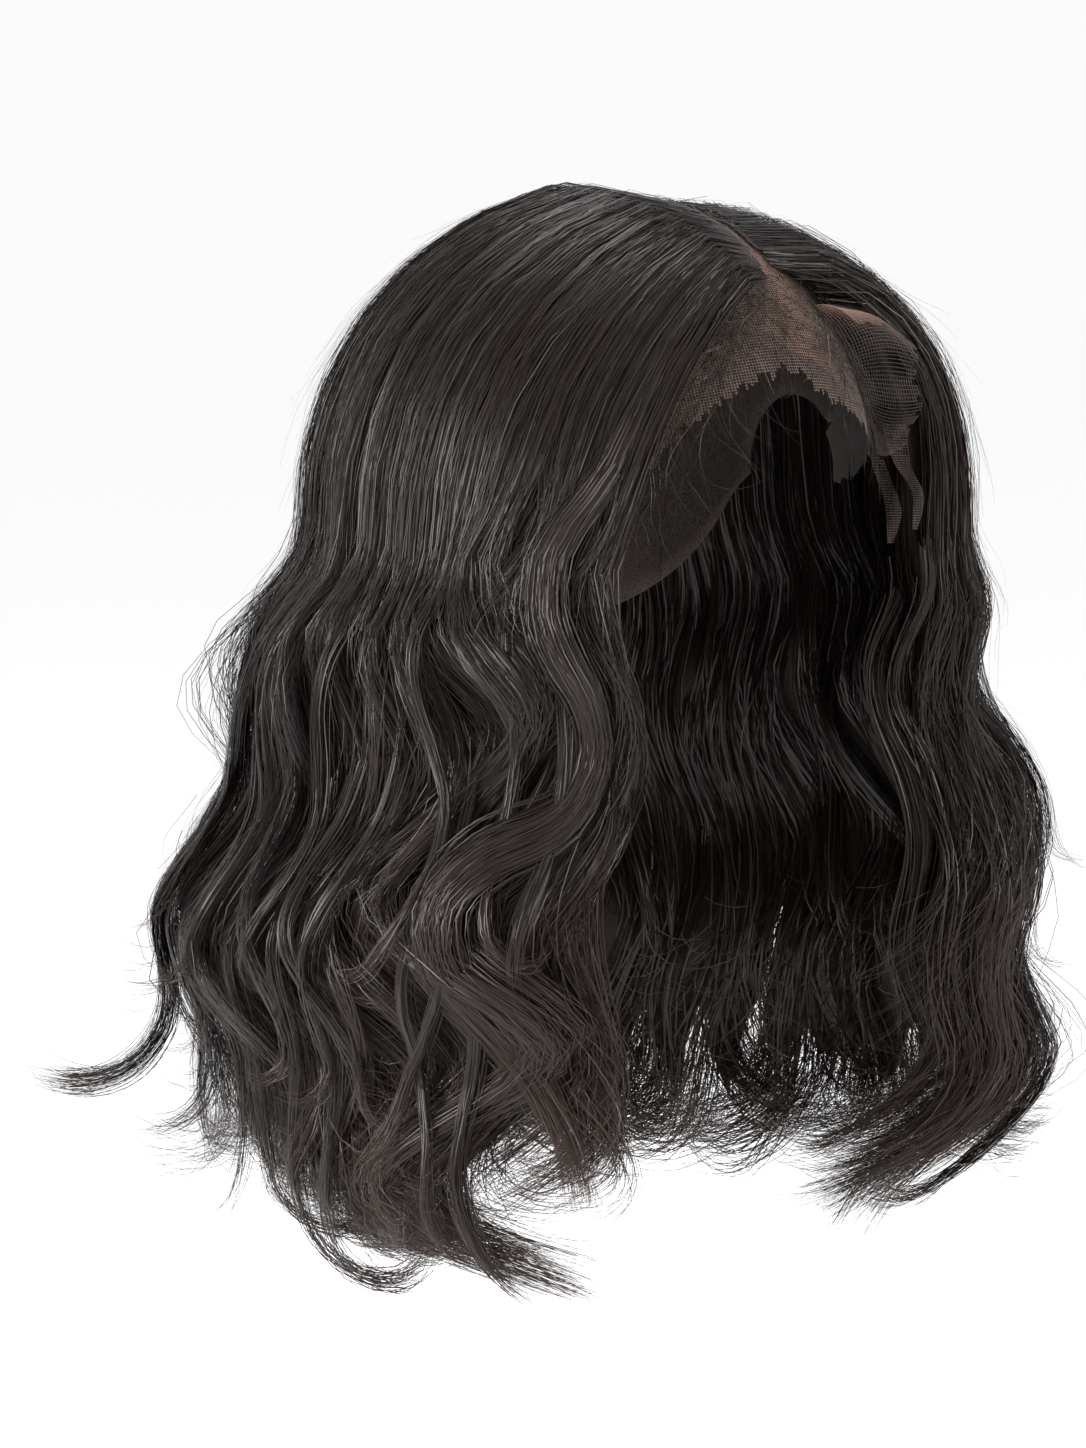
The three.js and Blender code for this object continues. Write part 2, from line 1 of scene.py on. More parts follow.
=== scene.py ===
# %% [markdown]
# # A lace front wig of loosely waved dark brown hair
# The wig is held up in the form that it has when it is worn. Its hair is the main thing: about seventeen
# thousand ribbons, each as thin as a few real hairs, fall from a parting over a lace front and a cap.
# A particle system could grow them, but it would be lost when the wig leaves Blender. Here each path is
# worked out with numpy arrays, and a tree of Geometry Nodes makes plain ribbons along the paths.

# %% Load the frame
import math

import bpy
import numpy as np
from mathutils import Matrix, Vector


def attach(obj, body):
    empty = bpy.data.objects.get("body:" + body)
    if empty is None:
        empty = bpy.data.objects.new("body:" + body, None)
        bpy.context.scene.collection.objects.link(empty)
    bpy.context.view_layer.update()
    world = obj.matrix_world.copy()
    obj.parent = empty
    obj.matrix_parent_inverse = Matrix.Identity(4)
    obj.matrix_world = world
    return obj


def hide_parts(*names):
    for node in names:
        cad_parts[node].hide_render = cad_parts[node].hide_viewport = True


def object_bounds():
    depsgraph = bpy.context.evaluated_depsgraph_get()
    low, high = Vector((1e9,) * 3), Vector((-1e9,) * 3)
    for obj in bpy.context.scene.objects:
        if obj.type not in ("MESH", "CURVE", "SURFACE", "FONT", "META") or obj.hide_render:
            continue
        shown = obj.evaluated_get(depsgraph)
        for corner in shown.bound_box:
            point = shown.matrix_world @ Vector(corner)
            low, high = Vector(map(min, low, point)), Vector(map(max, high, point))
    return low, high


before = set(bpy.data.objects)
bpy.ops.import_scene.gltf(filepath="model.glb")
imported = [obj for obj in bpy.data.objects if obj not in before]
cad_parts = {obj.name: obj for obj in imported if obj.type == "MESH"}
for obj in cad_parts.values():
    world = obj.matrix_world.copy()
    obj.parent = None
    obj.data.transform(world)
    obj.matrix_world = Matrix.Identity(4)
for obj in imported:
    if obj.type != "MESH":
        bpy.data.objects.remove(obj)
cad_box = [list(corner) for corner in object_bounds()]
print("nodes:", ", ".join(sorted(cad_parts)))

# %% [markdown]
# ## Sizes
# A wig's cap is made to a size, and this one is medium: about 154 mm wide, 194 mm deep and 550 mm
# round. The hair is laid over the same rounded form as the solids are, so the sizes of that form, of
# the rim and of the waves are the same ones, in metres. They could be typed where they are used, but
# as named values and tables each can be changed in one place. FULLEST is how far below the top the
# crown turns into hanging hair. The parting's ends are shares of the form's half width and half depth.

# %% Sizes of the form, the cap and the hair
MM = 0.001
HEAD = np.array([77, 97, 100]) * MM
CAP_WALL = 1.2 * MM
LACE_WALL = 1 * MM
ROOT_GAP = 0.35 * MM
HAIR_GAP = 1.2 * MM
CREST = 10 * MM
ROOT_HEIGHT = 3 * MM
PARTING_HALF_WIDTH = 2.7 * MM
SIDE_VOLUME = 43 * MM
BACK_VOLUME = 35 * MM
HAIR_LENGTH = 395 * MM
THICKNESS = 31 * MM
FLARE = 46 * MM
WAVE_DEPTH = 9 * MM
WAVE_LENGTH = 101 * MM
TIP_REACH = 60 * MM
FULLEST = 1.15 * HEAD[2]
CROWN_SWAY = 0.6
SWAY_BEGINS = 0.2
PARTING_FRONT = (0.156, -0.732)
PARTING_BACK = (0.104, 0.39)
PARTING_SPREAD = 142
print("hair falls", round((HAIR_LENGTH - FULLEST) / MM), "mm below its fullest line")

# %% [markdown]
# ## How the hair falls
# Hair does not hang alike all round: beside the face it clears the cheek, behind the ear it flares out
# most, and its waves are further on at one place than at another. A sculptor would model each side by
# eye. Here a table says it, with a column for each azimuth, in degrees from the face round past the
# wearer's right, and a row for each quality. The flare has its own rows, from the fullest line down.

# %% The table of the fall
AZIMUTH = [-314, -306, -270, -234, -180, -126, -90, -58, -38]
FALL = {
    "rim": [1.15, 1.15, 1.15, 1.15, 1.15, 1.15, 1.15, 1.18, 1.24],
    "roundness": [2.2, 2.1, 2, 2, 2, 2, 2, 1.7, 1.35],
    "crest": [0.4, 0.4, 0.4, 0.4, 0.6, 0.95, 1, 0.9, 0.7],
    "clear": [0.3, 0.1, 0, 0, 0, 0, 0, 0, 0],
    "wave": [0.8, 0.9, 0.9, 0.9, 0.9, 0.9, 1, 1, 0.55],
    "phase": [0.12, 0.12, 0.16, 0.22, 0.34, 0.475, 0.4, 0.3, 0.24],
    "side": [3, 3.5, 3.5, 3, 3, 2.6, 3.4, 7, 3.4],
    "side_length": [130, 130, 130, 130, 130, 130, 124, 112, 140],
    "side_phase": [0.322, 0.322, 0.322, 0.322, 0.322, 0.322, 0.36, 0.4, 0.46],
    "side_growth": [0.2, 0.2, 0.3, 0.3, 0.3, 0.3, 0.6, 1.0, 0.5],
    "side_from": [0.02, 0.04, 0.08, 0.08, 0.08, 0.1, 0.22, -0.02, -0.04],
    "lean": [0, 0, 0, 0, 0, 0, 0, -0.8, -2.8],
}
FLARE_DEPTHS = [0, 0.16, 0.34, 0.52, 0.7, 0.91]
FLARE_SHARES = [
    [0, 0, 0, 0, 0, 0, 0, 0, 0],
    [0.05, 0.08, 0.12, 0.2, 0.2, 0.36, 0.26, 0.15, 0.07],
    [0.28, 0.39, 0.39, 0.42, 0.42, 0.65, 0.53, 0.35, 0.15],
    [0.4, 0.5, 0.52, 0.61, 0.59, 1, 0.78, 0.55, 0.3],
    [0.5, 0.63, 0.63, 0.61, 0.57, 0.96, 0.75, 0.55, 0.3],
    [-0.2, -0.08, 0.13, 0.2, 0.2, 0.39, 0.32, 0.3, 0.18],
]

print("columns:", len(AZIMUTH), "rows:", len(FALL) + len(FLARE_SHARES))

# %% Curves through a table
def spline(keys, values, at):
    """Value at a key, by a cubic through the table's rows, as the solids' own curves are."""
    keys, values = np.asarray(keys, float), np.asarray(values, float)
    slopes = np.empty(len(keys))
    slopes[1:-1] = (values[2:] - values[:-2]) / (keys[2:] - keys[:-2])
    slopes[0] = (values[1] - values[0]) / (keys[1] - keys[0])
    slopes[-1] = (values[-1] - values[-2]) / (keys[-1] - keys[-2])
    i = np.clip(np.searchsorted(keys, at, side="right") - 1, 0, len(keys) - 2)
    span = keys[i + 1] - keys[i]
    k = np.clip((at - keys[i]) / span, 0, 1)
    rise = (2 * k**3 - 3 * k**2 + 1) * values[i] + (3 * k**2 - 2 * k**3) * values[i + 1]
    return rise + span * ((k**3 - 2 * k**2 + k) * slopes[i] + (k**3 - k**2) * slopes[i + 1])


def smoothstep(low, high, x):
    k = np.clip((x - low) / (high - low), 0, 1)
    return k * k * (3 - 2 * k)


def lerp(a, b, k):
    return a + (b - a) * k


def fall(name, azimuth):
    return spline(AZIMUTH, FALL[name], azimuth)


flare_behind_ear = spline(FLARE_DEPTHS, [row[5] for row in FLARE_SHARES], 0.6)
print("flare behind the right ear:", round(float(flare_behind_ear), 2))

# %% [markdown]
# ## The form that all the hair follows
# On the wig every hair lies beside its neighbours, from the knot at its root to its tip. Combing loose
# curves by hand could give that too, but it is slow and hard to change. So every lock, clump and strand
# is a path through one curved space instead. Its three directions are the azimuth that a hair falls at,
# its depth between the outside and the inside of the hair, and how far down it has come. Over the crown
# a path is an arc from the parting to the fullest line, and below that it hangs in waves.

# %% From the parting to the rim
def polar(azimuth, radius, z):
    turn = np.radians(azimuth)
    return np.stack(np.broadcast_arrays(radius * np.sin(turn), -radius * np.cos(turn), z), axis=-1)


def rim_radius(azimuth):
    turn = np.radians(azimuth)
    return 1 / np.hypot(np.sin(turn) / (HEAD[0] + SIDE_VOLUME), np.cos(turn) / (HEAD[1] + BACK_VOLUME))


def root_of(azimuth):
    """Where the hair of an azimuth is tied: beside the parting, or for the back of the wig at its end."""
    turn = azimuth + 180
    along = (1 - np.minimum(1, np.abs(turn) / PARTING_SPREAD)) ** 0.85
    side = np.sign(turn) * smoothstep(0, 16, np.abs(turn))
    x = HEAD[0] * lerp(PARTING_FRONT[0], PARTING_BACK[0], along) - side * PARTING_HALF_WIDTH
    y = HEAD[1] * lerp(PARTING_FRONT[1], PARTING_BACK[1], along)
    grown = HEAD + CAP_WALL + ROOT_GAP
    z = -HEAD[2] + grown[2] * np.sqrt(1 - (x / grown[0]) ** 2 - (y / grown[1]) ** 2)
    return np.stack([x, y, z], axis=-1)


def crown_point(azimuth, stage):
    """Points of the outside over the crown: stage 0 at the root, 1 at the rim."""
    root = root_of(azimuth)
    rim = polar(azimuth, rim_radius(azimuth), -HEAD[2] * fall("rim", azimuth))
    power = 2 / fall("roundness", azimuth)
    out = np.sin(stage * np.pi / 2) ** power
    up = np.cos(stage * np.pi / 2).clip(0) ** power
    reach = np.hypot(rim[..., 0] - root[..., 0], rim[..., 1] - root[..., 1]) * out
    crest = lerp(CREST * fall("crest", azimuth), ROOT_HEIGHT, np.exp(-((reach / CREST) ** 2)))
    point = root + (rim - root) * out[..., None]
    point[..., 2] = rim[..., 2] + (root[..., 2] + crest - rim[..., 2]) * up
    return point


first_root = root_of(np.array([-38.0]))[0]
print("the parting begins", round(float(first_root[1]) / MM), "mm from the middle")

# %% From the rim to the tips, with a wave in and out, and a sway from side to side
def fall_point(azimuth, z, shift, strength):
    """Points of the outside that hang down to z, with the flare and a wave in and out."""
    down = np.clip((-FULLEST - z) / (HAIR_LENGTH - FULLEST), 0, None)
    levels = np.stack([spline(AZIMUTH, row, azimuth) for row in FLARE_SHARES])
    depths = np.array(FLARE_DEPTHS)
    place = np.clip(down, 0, depths[-1])
    i = np.clip(np.searchsorted(depths, place, side="right") - 1, 0, len(depths) - 2)
    share = (place - depths[i]) / (depths[i + 1] - depths[i])
    here = np.take_along_axis(levels, i[None], 0)[0]
    below = np.take_along_axis(levels, i[None] + 1, 0)[0]
    flare = FLARE * lerp(here, below, lerp(smoothstep(0, 1, share), share, 0.5))
    begun = smoothstep(0.01, 0.12, down) * strength
    turn = (z + FULLEST) / WAVE_LENGTH + fall("phase", azimuth) + shift
    wave = begun * WAVE_DEPTH * fall("wave", azimuth) * np.cos(2 * np.pi * turn)
    return polar(azimuth, rim_radius(azimuth) + flare + wave, z)


def sway_of(azimuth, below, shift, strength):
    """Degrees that the hair swings sideways, at a share of its fall below the rim."""
    length = fall("side_length", azimuth) * MM
    turn = below * (HAIR_LENGTH - FULLEST) / length + fall("side_phase", azimuth) + shift
    reach = fall("side", azimuth) * (1 + fall("side_growth", azimuth) * below.clip(0, 1))
    begin = fall("side_from", azimuth)
    begun = smoothstep(begin - SWAY_BEGINS, begin + SWAY_BEGINS, below) * strength
    return begun * reach * np.cos(2 * np.pi * turn) + fall("lean", azimuth) * smoothstep(0.05, 0.35, below)


def turned_about_axis(points, angle):
    turn = np.radians(angle)
    x, y = points[..., 0], points[..., 1]
    rotated = [x * np.cos(turn) - y * np.sin(turn), x * np.sin(turn) + y * np.cos(turn), points[..., 2]]
    return np.stack(rotated, axis=-1)


sway = sway_of(np.array([-58.0]), np.array([0.4]), 0, 1)
print("sway beside the face:", round(float(sway[0]), 1), "degrees")

# %% The inside of the hair, and any point between
def inner_point(azimuth, outer, gap):
    """Under each outer point, the cap's surface, or below it the inside of the curtain of hair."""
    clear = THICKNESS * fall("clear", azimuth) * smoothstep(0.25, 0.7, -outer[..., 2] / HEAD[2])
    half = HEAD + (CAP_WALL + gap + clear)[..., None]
    centre = np.zeros_like(outer)
    centre[..., 2] = np.minimum(-HEAD[2], outer[..., 2])
    ray = outer - centre
    on_head = centre + ray / np.linalg.norm(ray / half, axis=-1, keepdims=True)
    outer_radius = np.hypot(outer[..., 0], outer[..., 1])
    cap_radius = np.hypot(on_head[..., 0], on_head[..., 1])
    below = -HEAD[2] - outer[..., 2]
    thin = smoothstep(0.7, 1, -outer[..., 2] / HAIR_LENGTH)
    hanging = np.maximum(cap_radius, outer_radius - THICKNESS * (1 - 0.5 * thin))
    kept = lerp(cap_radius, hanging, smoothstep(0, 0.7, below / HEAD[2]))
    curtain = outer.copy()
    curtain[..., :2] *= (kept / outer_radius)[..., None]
    return np.where((below > 0)[..., None], curtain, on_head)


def hair_point(azimuth, depth, stage, z, shift=0, sway_shift=0, strength=1, out=0, sway=1):
    """Points of the hair: stage 0 to 1 over the crown, and past 1 hanging down to z."""
    azimuth, depth, stage, z = np.broadcast_arrays(azimuth, depth, stage, z)
    hanging = fall_point(azimuth, z, shift, strength)
    outer = np.where((stage < 1)[..., None], crown_point(azimuth, np.clip(stage, 0, 1)), hanging)
    below = np.where(stage < 1, (stage - 1) * CROWN_SWAY, (-FULLEST - z) / (HAIR_LENGTH - FULLEST))
    outer = turned_about_axis(outer, sway_of(azimuth, below, sway_shift, strength * sway))
    gap = lerp(ROOT_GAP, HAIR_GAP, smoothstep(0, 0.12, stage))
    point = outer + (inner_point(azimuth, outer, gap) - outer) * depth[..., None]
    radius = np.hypot(point[..., 0], point[..., 1])
    point[..., :2] *= (1 + out / radius)[..., None]
    return point


probe = hair_point(np.array([-126.0]), np.array([0.0]), np.array([1.0]), np.array([-0.264]))
print("the fullest wave behind the right ear reaches", round(float(np.hypot(*probe[0, :2])) / MM), "mm")

# %% [markdown]
# ## Materials
# A finish is a small tree of shader nodes. Two helpers keep these trees short. One turns the hex colours
# that people pick by eye into the linear ones that light is reckoned with, and the other adds a node
# with its settings and links in one line.

# %% Colour and node helpers
def linear(code):
    """sRGB hex code as the linear colour that shaders take."""
    channels = [int(code[i : i + 2], 16) / 255 for i in (1, 3, 5)]
    return tuple(c / 12.92 if c <= 0.04045 else ((c + 0.055) / 1.055) ** 2.4 for c in channels) + (1,)


def add(tree, kind, settings=None, **inputs):
    """One node with its settings, and each input, by name or number, set to a value or linked."""
    made = tree.nodes.new(kind)
    for key, value in (settings or {}).items():
        setattr(made, key, value)
    for name, value in inputs.items():
        key = name.replace("_", " ")
        numbered = key.startswith("in") and key[2:].isdigit()
        socket = made.inputs[int(key[2:]) if numbered else key]
        if isinstance(value, bpy.types.NodeSocket):
            tree.links.new(value, socket)
        else:
            socket.default_value = value
    return made


def new_material(name):
    material = bpy.data.materials.new(name)
    material.use_nodes = True
    tree = material.node_tree
    tree.nodes.clear()
    return material, tree


print("espresso brown in linear light:", [round(c, 4) for c in linear("#1d1410")[:3]])

# %% [markdown]
# ## The hair's finish
# Human hair is keratin, a clear horn-like fibre over dark pigment. Its gloss is therefore nearly white,
# soft and drawn out along the wave, and the espresso brown of its body shows mostly where light gets
# through, at thin edges and tips. Blender's hair shader would give all that, but it is lost in an
# exported model. A plain glossy shader on ribbons that are each turned a little differently comes
# close. The depths stand for hair packed so close that it swallows light: nearly black, in streaks.

# %% Waved human hair, a glossy dark brown fibre
COLOURS = {"data_type": "RGBA"}


def hair_fibre():
    """Keratin with a fibre's lowered IOR: soft sheen bands, strands that differ a little, and tips painted a
    lighter brown for light shining through.
    """
    material, tree = new_material("dark_brown_hair_fibre")
    shade = add(tree, "ShaderNodeAttribute", {"attribute_name": "shade"})
    along = add(tree, "ShaderNodeAttribute", {"attribute_name": "along"})
    black, espresso, wear_and_painted_tip_light = linear("#080605"), linear("#1d1410"), linear("#2e2019")
    body = add(tree, "ShaderNodeMix", COLOURS, in0=shade.outputs["Fac"], in6=black, in7=espresso)
    # Painted light: toward the tips the colour is mixed to a lighter brown, for light that shines through the
    # thin ends.
    tips = add(tree, "ShaderNodeMapRange", Value=along.outputs["Fac"], From_Min=0.55, To_Max=0.35)
    colour = add(tree, "ShaderNodeMix", COLOURS, in0=tips.outputs[0], in6=body.outputs[2], in7=wear_and_painted_tip_light)
    gloss = {"Roughness": 0.35, "IOR": 1.33, "Specular_Tint": linear("#f2ebe8")}
    shader = add(tree, "ShaderNodeBsdfPrincipled", Base_Color=colour.outputs[2], **gloss)
    add(tree, "ShaderNodeOutputMaterial", Surface=shader.outputs[0])
    return material


FIBRE = hair_fibre()
print("finish of the strands:", FIBRE.name)

# %% The depths between the locks, matted dark hair
# Across, the pattern counts in millimetres, so a streak is about half a millimetre wide. Along, it
# counts in shares of the hair's length, and a streak is about 50 mm long.
STREAKS = (2.2, 9, 1)


def hair_depths():
    """Packed hair seen between strands: nearly black, in fine streaks that run with the hair."""
    material, tree = new_material("matted_hair_depths")
    across = add(tree, "ShaderNodeAttribute", {"attribute_name": "across"})
    along = add(tree, "ShaderNodeAttribute", {"attribute_name": "along"})
    place = add(tree, "ShaderNodeCombineXYZ", X=across.outputs["Fac"], Y=along.outputs["Fac"])
    streaks = add(tree, "ShaderNodeMapping", Vector=place.outputs[0], Scale=STREAKS)
    noise = add(tree, "ShaderNodeTexNoise", Vector=streaks.outputs[0], Scale=1.0, Detail=3.0, Roughness=0.7)
    black, brown = linear("#050403"), linear("#241913")
    colour = add(tree, "ShaderNodeMix", COLOURS, in0=noise.outputs[0], in6=black, in7=brown)
    bump = add(tree, "ShaderNodeBump", Strength=1.0, Distance=0.5 * MM, Height=noise.outputs[0])
    gloss = {"Roughness": 0.45, "IOR": 1.3, "Normal": bump.outputs[0]}
    shader = add(tree, "ShaderNodeBsdfPrincipled", Base_Color=colour.outputs[2], **gloss)
    add(tree, "ShaderNodeOutputMaterial", Surface=shader.outputs[0])
    return material


DEPTHS = hair_depths()
print("finish of the shells:", DEPTHS.name)

# %% [markdown]
# ## Locks, clumps and strands
# Hair that has been waved falls in locks, each lock in thinner clumps, and the clumps in strands. One
# could scatter strands evenly, but that looks like combed nylon. So a table gives the locks, random
# numbers with a fixed seed scatter clumps round each lock, and each strand leans toward its clump more
# the further down it is. The last part of a clump turns away from hanging straight down, toward its
# heading, which makes curls and open loops. The sections are the wig's own, one for each node.

# %% The locks, by azimuth and half width in degrees
# "shift" is a share of a wave. "tip" is a share of the hair's length, and "out" and "rise" are shares of
# TIP_REACH. "swing", "hook" and "heading" are degrees that the tip moves round, turns up by and turns
# toward. "begin" is the share of the way down where it starts to turn, and "stray" how loose it is.
LOCK_COLUMNS = (
    "azimuth", "half", "shift", "tip", "out", "swing", "rise", "hook", "heading", "begin", "stray",
)
LOCK_ROWS = [
    (-44, 4.4, 0.03, 0.9, -0.15, -2, 0, 34, -126, 0.86, 1),
    (-52, 5.2, -0.08, 0.925, -0.25, 1, 0, 30, -126, 0.87, 1),
    (-61, 5.6, 0.1, 0.98, -0.15, 1, 0, 40, 54, 0.9, 0.5),
    (-69.4, 5, -0.06, 0.95, -0.2, 1, 0, 110, 54, 0.9, 1),
    (-80.4, 4.8, 0.08, 0.94, -0.1, -3, 0, 210, 54, 0.89, 1),
    (-91, 6, -0.1, 0.96, -0.05, -6, 0, 250, 54, 0.88, 0.7),
    (-102, 6, 0.05, 0.92, 0.1, -5, 0, 240, 50, 0.885, 0.8),
    (-112.6, 4.8, -0.08, 0.89, 0.05, 0, 0, 200, 54, 0.89, 1),
    (-120.6, 3, 0, 0.9, 0, 0, 0, 150, -126, 0.86, 1),
    (-127, 5.4, 0.07, 0.9, 0, 2, 0, 200, 30, 0.88, 1),
    (-137.5, 6, -0.1, 0.92, 0.1, 3, 0.1, 210, 60, 0.88, 1),
    (-148, 5.6, 0.12, 0.94, -0.1, -3, 0, 180, 100, 0.88, 1),
    (-155, 4.2, -0.04, 0.94, 0.06, 0.5, 0, 90, -60, 0.86, 1),
    (-165.4, 4.8, 0.06, 0.96, -0.1, 0, 0, 130, 20, 0.85, 1),
    (-174.6, 5.4, -0.12, 0.98, -0.15, -3, 0, 150, 60, 0.84, 1),
    (-184.6, 5.4, 0.1, 0.97, 0.06, 3, 0, 110, -126, 0.86, 1),
    (-194.4, 4.8, -0.04, 0.98, -0.1, 3, 0, 140, 40, 0.85, 1),
    (-205.6, 5, 0.06, 0.97, -0.1, 0, 0, 120, -126, 0.85, 1),
    (-216, 5.8, -0.1, 0.95, 0.1, 3, 0, 150, 54, 0.84, 1),
    (-226.6, 5.8, 0.08, 0.97, -0.2, -3, 0, 150, -126, 0.84, 1),
    (-236.6, 4.8, -0.05, 0.95, 0.1, 0, 0, 120, 54, 0.85, 1),
    (-247.8, 5.2, 0.05, 0.96, -0.15, 0, 0, 140, -120, 0.84, 1),
    (-258, 5.8, -0.1, 0.92, 0.15, 3, 0.1, 130, 54, 0.85, 1),
    (-268.6, 5.8, 0.1, 0.95, -0.15, -3, 0, 120, -110, 0.85, 1),
    (-279.4, 5, -0.04, 0.93, 0.1, 0, 0, 110, 54, 0.86, 1),
    (-289.8, 4.2, 0.05, 0.9, 0.12, 0, 0, 120, 54, 0.87, 1),
    (-299, 5.2, -0.08, 0.94, -0.2, 0, 0, 110, -126, 0.85, 1.4),
    (-308.4, 5, 0.04, 0.97, -0.35, 0, 0, 64, -126, 0.87, 1),
]
LOCKS = {name: np.array([row[i] for row in LOCK_ROWS], float) for i, name in enumerate(LOCK_COLUMNS)}

SECTION_COLUMNS = ("name", "from", "to", "outer", "inner", "frizz", "shell_end")
SECTION_ROWS = [
    ("hair_front_right", -75, -40, 1520, 180, 740, 0.305),
    ("hair_side_right", -118, -75, 1700, 220, 820, 0.305),
    ("hair_back_right", -160, -118, 1400, 340, 500, 0.325),
    ("hair_back", -200, -160, 750, 330, 280, 0.33),
    ("hair_back_left", -242, -200, 640, 470, 280, 0.33),
    ("hair_side_left", -285, -242, 700, 470, 280, 0.325),
    ("hair_front_left", -314, -285, 950, 360, 420, 0.315),
]
SECTIONS = [dict(zip(SECTION_COLUMNS, row)) for row in SECTION_ROWS]
print(len(LOCK_ROWS), "locks in", len(SECTIONS), "sections")

# %% The clumps of a section, each with its lock's values and its own small differences
CROWN_SHARE = 0.3
CLUMPS_PER_LOCK = 9
ROOT_SCATTER = 1.6 * MM
CLUMP_LEAN = 28


def section_clumps(section, random):
    inside = (LOCKS["azimuth"] > section["from"]) & (LOCKS["azimuth"] < section["to"])
    own = {name: np.repeat(values[inside], CLUMPS_PER_LOCK) for name, values in LOCKS.items()}
    count = len(own["azimuth"])
    own["at"] = own["azimuth"] + own["half"] * random.uniform(-0.95, 0.95, count)
    own["deep"] = random.random(count) ** 1.3
    own["sunk"] = np.repeat(random.uniform(-0.05, 0.26, inside.sum()), CLUMPS_PER_LOCK)
    stray = own["stray"]
    own["lag"] = 0.8 * own["shift"] + random.normal(0, 0.075, count) * stray
    own["shift"] = own["shift"] + random.normal(0, 0.07, count) * stray
    own["strength"] = random.normal(1, 0.2, count).clip(0.5, 1.5)
    own["tip"] = own["tip"] * (1 - np.abs(random.normal(0, 0.04, count)) * stray)
    own["hook"] = np.radians(own["hook"] * (1 + random.uniform(-0.25, 0.25, count) * stray))
    own["heading"] = np.radians(own["heading"] + random.normal(0, CLUMP_LEAN, count) * stray)
    own["begin"] = own["begin"] + random.normal(0, 0.022, count) * stray
    own["tone"] = random.random(count)
    own["waves"] = random.random((count, 3, 2))
    return own


first_clumps = section_clumps(SECTIONS[0], np.random.default_rng(0))
print("clumps in the first section:", len(first_clumps["at"]))

# %% Where the points of a strand stand on its way down
CROWN_SAMPLES, FALL_SAMPLES, TIP_SAMPLES, TIP_SHARE = 7, 17, 7, 0.13
SHORT_SAMPLES = 12
FAR_ROOTS = 0.35


def whole_length(count, random):
    """Where each strand's points stand between root and tip, closer together where it hangs in waves."""
    crown = np.linspace(0, CROWN_SHARE, CROWN_SAMPLES, endpoint=False)
    hanging = np.linspace(CROWN_SHARE, 1 - TIP_SHARE, FALL_SAMPLES, endpoint=False)
    even = np.concatenate([crown, hanging, np.linspace(1 - TIP_SHARE, 1, TIP_SAMPLES)])
    step = np.gradient(even)
    place = even + step * random.uniform(-0.5, 0.5, (count, 1))
    place[:, -1] = 1
    far = random.random(count) < FAR_ROOTS
    root = np.where(far, random.uniform(0, 0.13, count), random.uniform(0, 0.03, count))
    return lerp(root[:, None], 1, (place - place[:, :1]) / (1 - place[:, :1]))


def short_length(count, random):
    """Points of short hairs, which start anywhere on the way down."""
    start = random.uniform(0.03, 0.88, count)[:, None]
    reach = random.uniform(0.07, 0.2, count)[:, None]
    return start + reach * np.linspace(0, 1, SHORT_SAMPLES)[None, :]


print("points down one strand:", CROWN_SAMPLES + FALL_SAMPLES + TIP_SAMPLES, "or", SHORT_SAMPLES)


# %% Random drift of a path, and the hook at its end
def wander(place, random, slow=1.2, fast=2.8):
    """Random drift of each path along three axes, as a slow and a fast sine of random phase."""
    each = (len(place), 1, 3)
    slow_phase, fast_phase = random.random((2, *each))
    slow_rate = random.uniform(0.7, 1.3, each) * slow
    fast_rate = random.uniform(0.8, 1.2, each) * fast
    along = place[..., None]
    drift = 0.75 * np.sin(2 * np.pi * (along * slow_rate + slow_phase))
    return drift + 0.4 * np.sin(2 * np.pi * (along * fast_rate + fast_phase))


def hooked(points, place, hook, heading, begin):
    """Turns the last part of each path away from straight down, toward a level heading."""
    steps = np.diff(points, axis=1)
    length = np.linalg.norm(steps, axis=-1, keepdims=True)
    middle = (place[:, 1:] + place[:, :-1]) / 2
    turned_share = np.clip((middle - begin) / (1 - begin), 0, 1)
    angle = hook * turned_share * (0.6 + 0.4 * turned_share)
    level = np.stack(np.broadcast_arrays(np.sin(heading), -np.cos(heading), 0.0), axis=-1)
    ahead = steps / np.maximum(length, 1e-9)
    turned = ahead * np.cos(angle)[..., None] + level * np.sin(angle)[..., None]
    turned /= np.maximum(np.linalg.norm(turned, axis=-1, keepdims=True), 1e-6)
    moved = np.cumsum(turned * length, axis=1)
    return np.concatenate([points[:, :1], points[:, :1] + moved], axis=1)


straight, share = np.linspace([0, 0, 0], [0, 0, -100], 21)[None], np.linspace(0, 1, 21)[None]
bent = hooked(straight, share, np.full((1, 1), np.pi / 2), np.zeros((1, 1)), 0.5)
print("100 mm straight down, hooked by 90 degrees, ends", round(-float(bent[0, -1, 2])), "mm down")

# %% The path of every strand of a section
# Strands gather in their clumps between two shares of the way down. A share of them is cut in layers.
GATHERS = (0.1, 0.75)
LAYERED_SHARE, LAYERS, UNEVEN = 0.33, (0.02, 0.28), (0, 0.06)
FALL_REACH = 0.4
SPREAD = 0.34
OWN_SHIFT = 0.022
OWN_HOOK = 0.12


